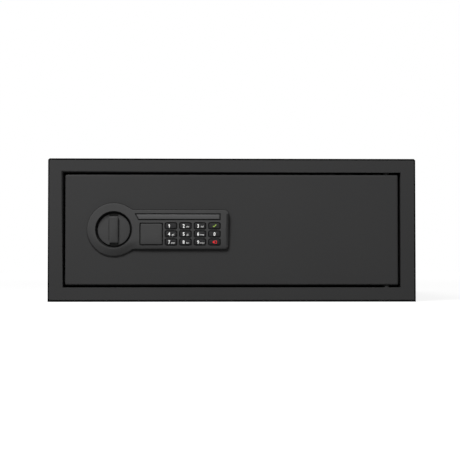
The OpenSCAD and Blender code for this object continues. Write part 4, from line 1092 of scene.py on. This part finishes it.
class SAFE_OT_stage(bpy.types.Operator):
    """Sets the floor, the room, the lamps and the camera"""

    bl_idname = "safe.stage"
    bl_label = "Stage"

    def execute(self, context):
        stage = context.scene.safe_stage
        scene = context.scene
        scene.view_settings.view_transform = "Standard"

        mesh = bpy.data.meshes.new("Floor")
        corners = [(x * FLOOR_HALF, y * FLOOR_HALF, 0) for x, y in ((-1, -1), (1, -1), (1, 1), (-1, 1))]
        mesh.from_pydata(corners, [], [(0, 1, 2, 3)])
        in_scene("Floor", mesh)
        mesh.materials.append(self.floor_finish())
        scene.world = self.room(stage.ambient)

        self.lamp("Key lamp", (-0.75, -1.45, 1.6), (0.9, 0.9), stage.key_lamp)
        self.lamp("Fill lamp", (0.4, -3.0, 0.9), (1.6, 1.6), stage.fill_lamp)

        data = bpy.data.cameras.new("Camera")
        data.lens = stage.lens
        data.sensor_width = 36.0
        data.sensor_fit = "HORIZONTAL"
        data.clip_end = 50.0
        camera = in_scene("Camera", data)
        camera.location = CAMERA_PLACE
        camera.rotation_euler = [math.radians(turn) for turn in CAMERA_TURN]
        scene.camera = camera
        return {"FINISHED"}

    def seen(self, tree):
        """1 for rays from the camera and for those that a piece mirrors or lets through."""
        path = new_node(tree, "LightPath")
        value = path.outputs["Is Camera Ray"]
        for other in ("Is Glossy Ray", "Is Transmission Ray"):
            step = new_node(tree, "Math")
            step.operation = "MAXIMUM"
            tree.links.new(value, step.inputs[0])
            tree.links.new(path.outputs[other], step.inputs[1])
            value = step.outputs[0]
        return value

    def split(self, tree, out, unseen, shown):
        """Leads one shader to the light that falls on the safe, the other to what is seen."""
        mix = new_node(tree, "MixShader")
        tree.links.new(self.seen(tree), mix.inputs[0])
        tree.links.new(unseen.outputs[0], mix.inputs[1])
        tree.links.new(shown.outputs[0], mix.inputs[2])
        tree.links.new(mix.outputs[0], out.inputs["Surface"])

    def floor_finish(self):
        material = bpy.data.materials.new("Pale floor")
        material.use_nodes = True
        tree = material.node_tree
        tree.nodes.clear()
        plain = new_node(tree, "BsdfDiffuse", {"Color": (0.2, 0.2, 0.2, 1)})
        pale = new_node(tree, "BsdfDiffuse", {"Color": (0.12, 0.12, 0.12, 1)})
        glow = new_node(tree, "Emission", {"Color": WHITE})
        # Whiter with distance, so that the floor's far edge doesn't show
        place = new_node(tree, "TexCoord")
        away = new_node(tree, "VectorMath")
        away.operation = "LENGTH"
        whiten = new_node(tree, "MapRange", {"From Min": 0.6, "From Max": 3.0, "To Min": 0.9, "To Max": 1.0})
        tree.links.new(place.outputs["Object"], away.inputs[0])
        tree.links.new(away.outputs["Value"], whiten.inputs["Value"])
        tree.links.new(whiten.outputs["Result"], glow.inputs["Strength"])
        both = new_node(tree, "AddShader")
        tree.links.new(pale.outputs[0], both.inputs[0])
        tree.links.new(glow.outputs[0], both.inputs[1])
        self.split(tree, new_node(tree, "OutputMaterial"), plain, both)
        return material

    def room(self, ambient):
        world = bpy.data.worlds.new("Room")
        world.use_nodes = True
        tree = world.node_tree
        tree.nodes.clear()
        light = new_node(tree, "Background", {"Color": WHITE, "Strength": ambient})
        white = new_node(tree, "Background", {"Color": WHITE, "Strength": 1.0})
        self.split(tree, new_node(tree, "OutputWorld"), light, white)
        return world

    def lamp(self, name, place, size, power):
        data = bpy.data.lights.new(name, "AREA")
        data.shape = "RECTANGLE"
        data.size, data.size_y = size
        data.energy = power
        lamp = in_scene(name, data)
        lamp.location = place
        lamp.rotation_euler = (LAMP_AIM - Vector(place)).to_track_quat("-Z", "Y").to_euler()


class SAFE_OT_case(bpy.types.Operator):
    """Dresses the case: wrap, hinge plates, keeper and stop pads, and its face frame"""

    bl_idname = "safe.case"
    bl_label = "Case and frame"

    def execute(self, context):
        make_face_frame()
        make_wrap()
        soft_copy("hinge_plates", "case_steel", 0.0005)
        soft_copy("bolt_keeper", "case_steel", 0.0003)
        soft_copy("stop_pads", "pad_rubber", 0.0004)
        return {"FINISHED"}


class SAFE_OT_door(bpy.types.Operator):
    """Dresses the door's folded panel, its stiffener and its hinge blocks"""

    bl_idname = "safe.door"
    bl_label = "Door"

    def execute(self, context):
        make_door()
        soft_copy("door_stiffener", "case_steel", 0.0004)
        soft_copy("hinge_blocks", "case_steel", 0.0006)
        return {"FINISHED"}


class SAFE_OT_lock_plate(bpy.types.Operator):
    """Moulds the crowned lock plate, its black seal that stands in for the shade line round its foot, its
    strip and its badge cover
    """

    bl_idname = "safe.lock_plate"
    bl_label = "Lock plate"

    def execute(self, context):
        make_lock_plate()
        make_shade_seal()
        make_strip()
        make_badge()
        return {"FINISHED"}


class SAFE_OT_keys(bpy.types.Operator):
    """Moulds the twelve keys and prints their digits, letters and marks"""

    bl_idname = "safe.keys"
    bl_label = "Keys"

    def execute(self, context):
        for key in KEY_LABELS:
            make_key(key)
        make_print()
        return {"FINISHED"}


class SAFE_OT_knob(bpy.types.Operator):
    """Moulds the knob's disc and grip bar"""

    bl_idname = "safe.knob"
    bl_label = "Knob"

    def execute(self, context):
        make_knob()
        return {"FINISHED"}


class SAFE_OT_inner_cover(bpy.types.Operator):
    """Rounds the inner cover, its lid, button and screws and the bolts, and winds the spring"""

    bl_idname = "safe.inner_cover"
    bl_label = "Inner cover and bolts"

    def execute(self, context):
        soft_copy("inner_cover", "cover_plastic", 0.0007, 3)
        soft_copy("battery_lid", "cover_plastic", 0.0005)
        soft_copy("reset_button", "reset_red", 0.0004)
        soft_copy("cover_screws", "zinc_steel", 0.0002)
        soft_copy("bolts", "bolt_chrome", 0.0009, 3)
        make_spring()
        return {"FINISHED"}


class SAFE_OT_mat(bpy.types.Operator):
    """Lays the felt on the floor of the safe"""

    bl_idname = "safe.mat"
    bl_label = "Floor felt"

    def execute(self, context):
        make_mat()
        return {"FINISHED"}


class SAFE_OT_finishes(bpy.types.Operator):
    """Gives every part that keeps its CAD shape the finish of its slot"""

    bl_idname = "safe.finishes"
    bl_label = "Finishes"

    def execute(self, context):
        for row in frame["record"]["subparts"]:
            piece = frame["nodes"][row["node"]]
            if piece.hide_render:
                continue
            piece.data.materials.clear()
            piece.data.materials.append(finish_of(row["material_slot"]))
        return {"FINISHED"}


class SAFE_PT_panel(bpy.types.Panel):
    """Steps that dress the safe, in their order"""

    bl_idname = "SAFE_PT_panel"
    bl_label = "Wide Safe"
    bl_space_type = "VIEW_3D"
    bl_region_type = "UI"
    bl_category = "Safe"

    def draw(self, context):
        column = self.layout.column()
        for step in STEPS:
            column.operator(step.bl_idname)
        for group in ("safe_sizes", "safe_colours", "safe_stage"):
            box = self.layout.box()
            settings = getattr(context.scene, group)
            for name in settings.__annotations__:
                box.prop(settings, name)


STEPS = (
    SAFE_OT_stage, SAFE_OT_case, SAFE_OT_door, SAFE_OT_lock_plate, SAFE_OT_keys, SAFE_OT_knob,
    SAFE_OT_inner_cover, SAFE_OT_mat, SAFE_OT_finishes,
)
GROUPS = (SafeSizes, SafeColours, SafeStage)


def register():
    for cls in GROUPS + STEPS + (SAFE_PT_panel,):
        bpy.utils.register_class(cls)
    bpy.types.Scene.safe_sizes = bpy.props.PointerProperty(type=SafeSizes)
    bpy.types.Scene.safe_colours = bpy.props.PointerProperty(type=SafeColours)
    bpy.types.Scene.safe_stage = bpy.props.PointerProperty(type=SafeStage)


def unregister():
    for name in ("safe_sizes", "safe_colours", "safe_stage"):
        delattr(bpy.types.Scene, name)
    for cls in reversed(GROUPS + STEPS + (SAFE_PT_panel,)):
        bpy.utils.unregister_class(cls)


def main():
    register()
    bpy.ops.safe.stage()
    bpy.ops.safe.case()
    bpy.ops.safe.door()
    bpy.ops.safe.lock_plate()
    bpy.ops.safe.keys()
    bpy.ops.safe.knob()
    bpy.ops.safe.inner_cover()
    bpy.ops.safe.mat()
    bpy.ops.safe.finishes()


if __name__ == "__main__":
    main()
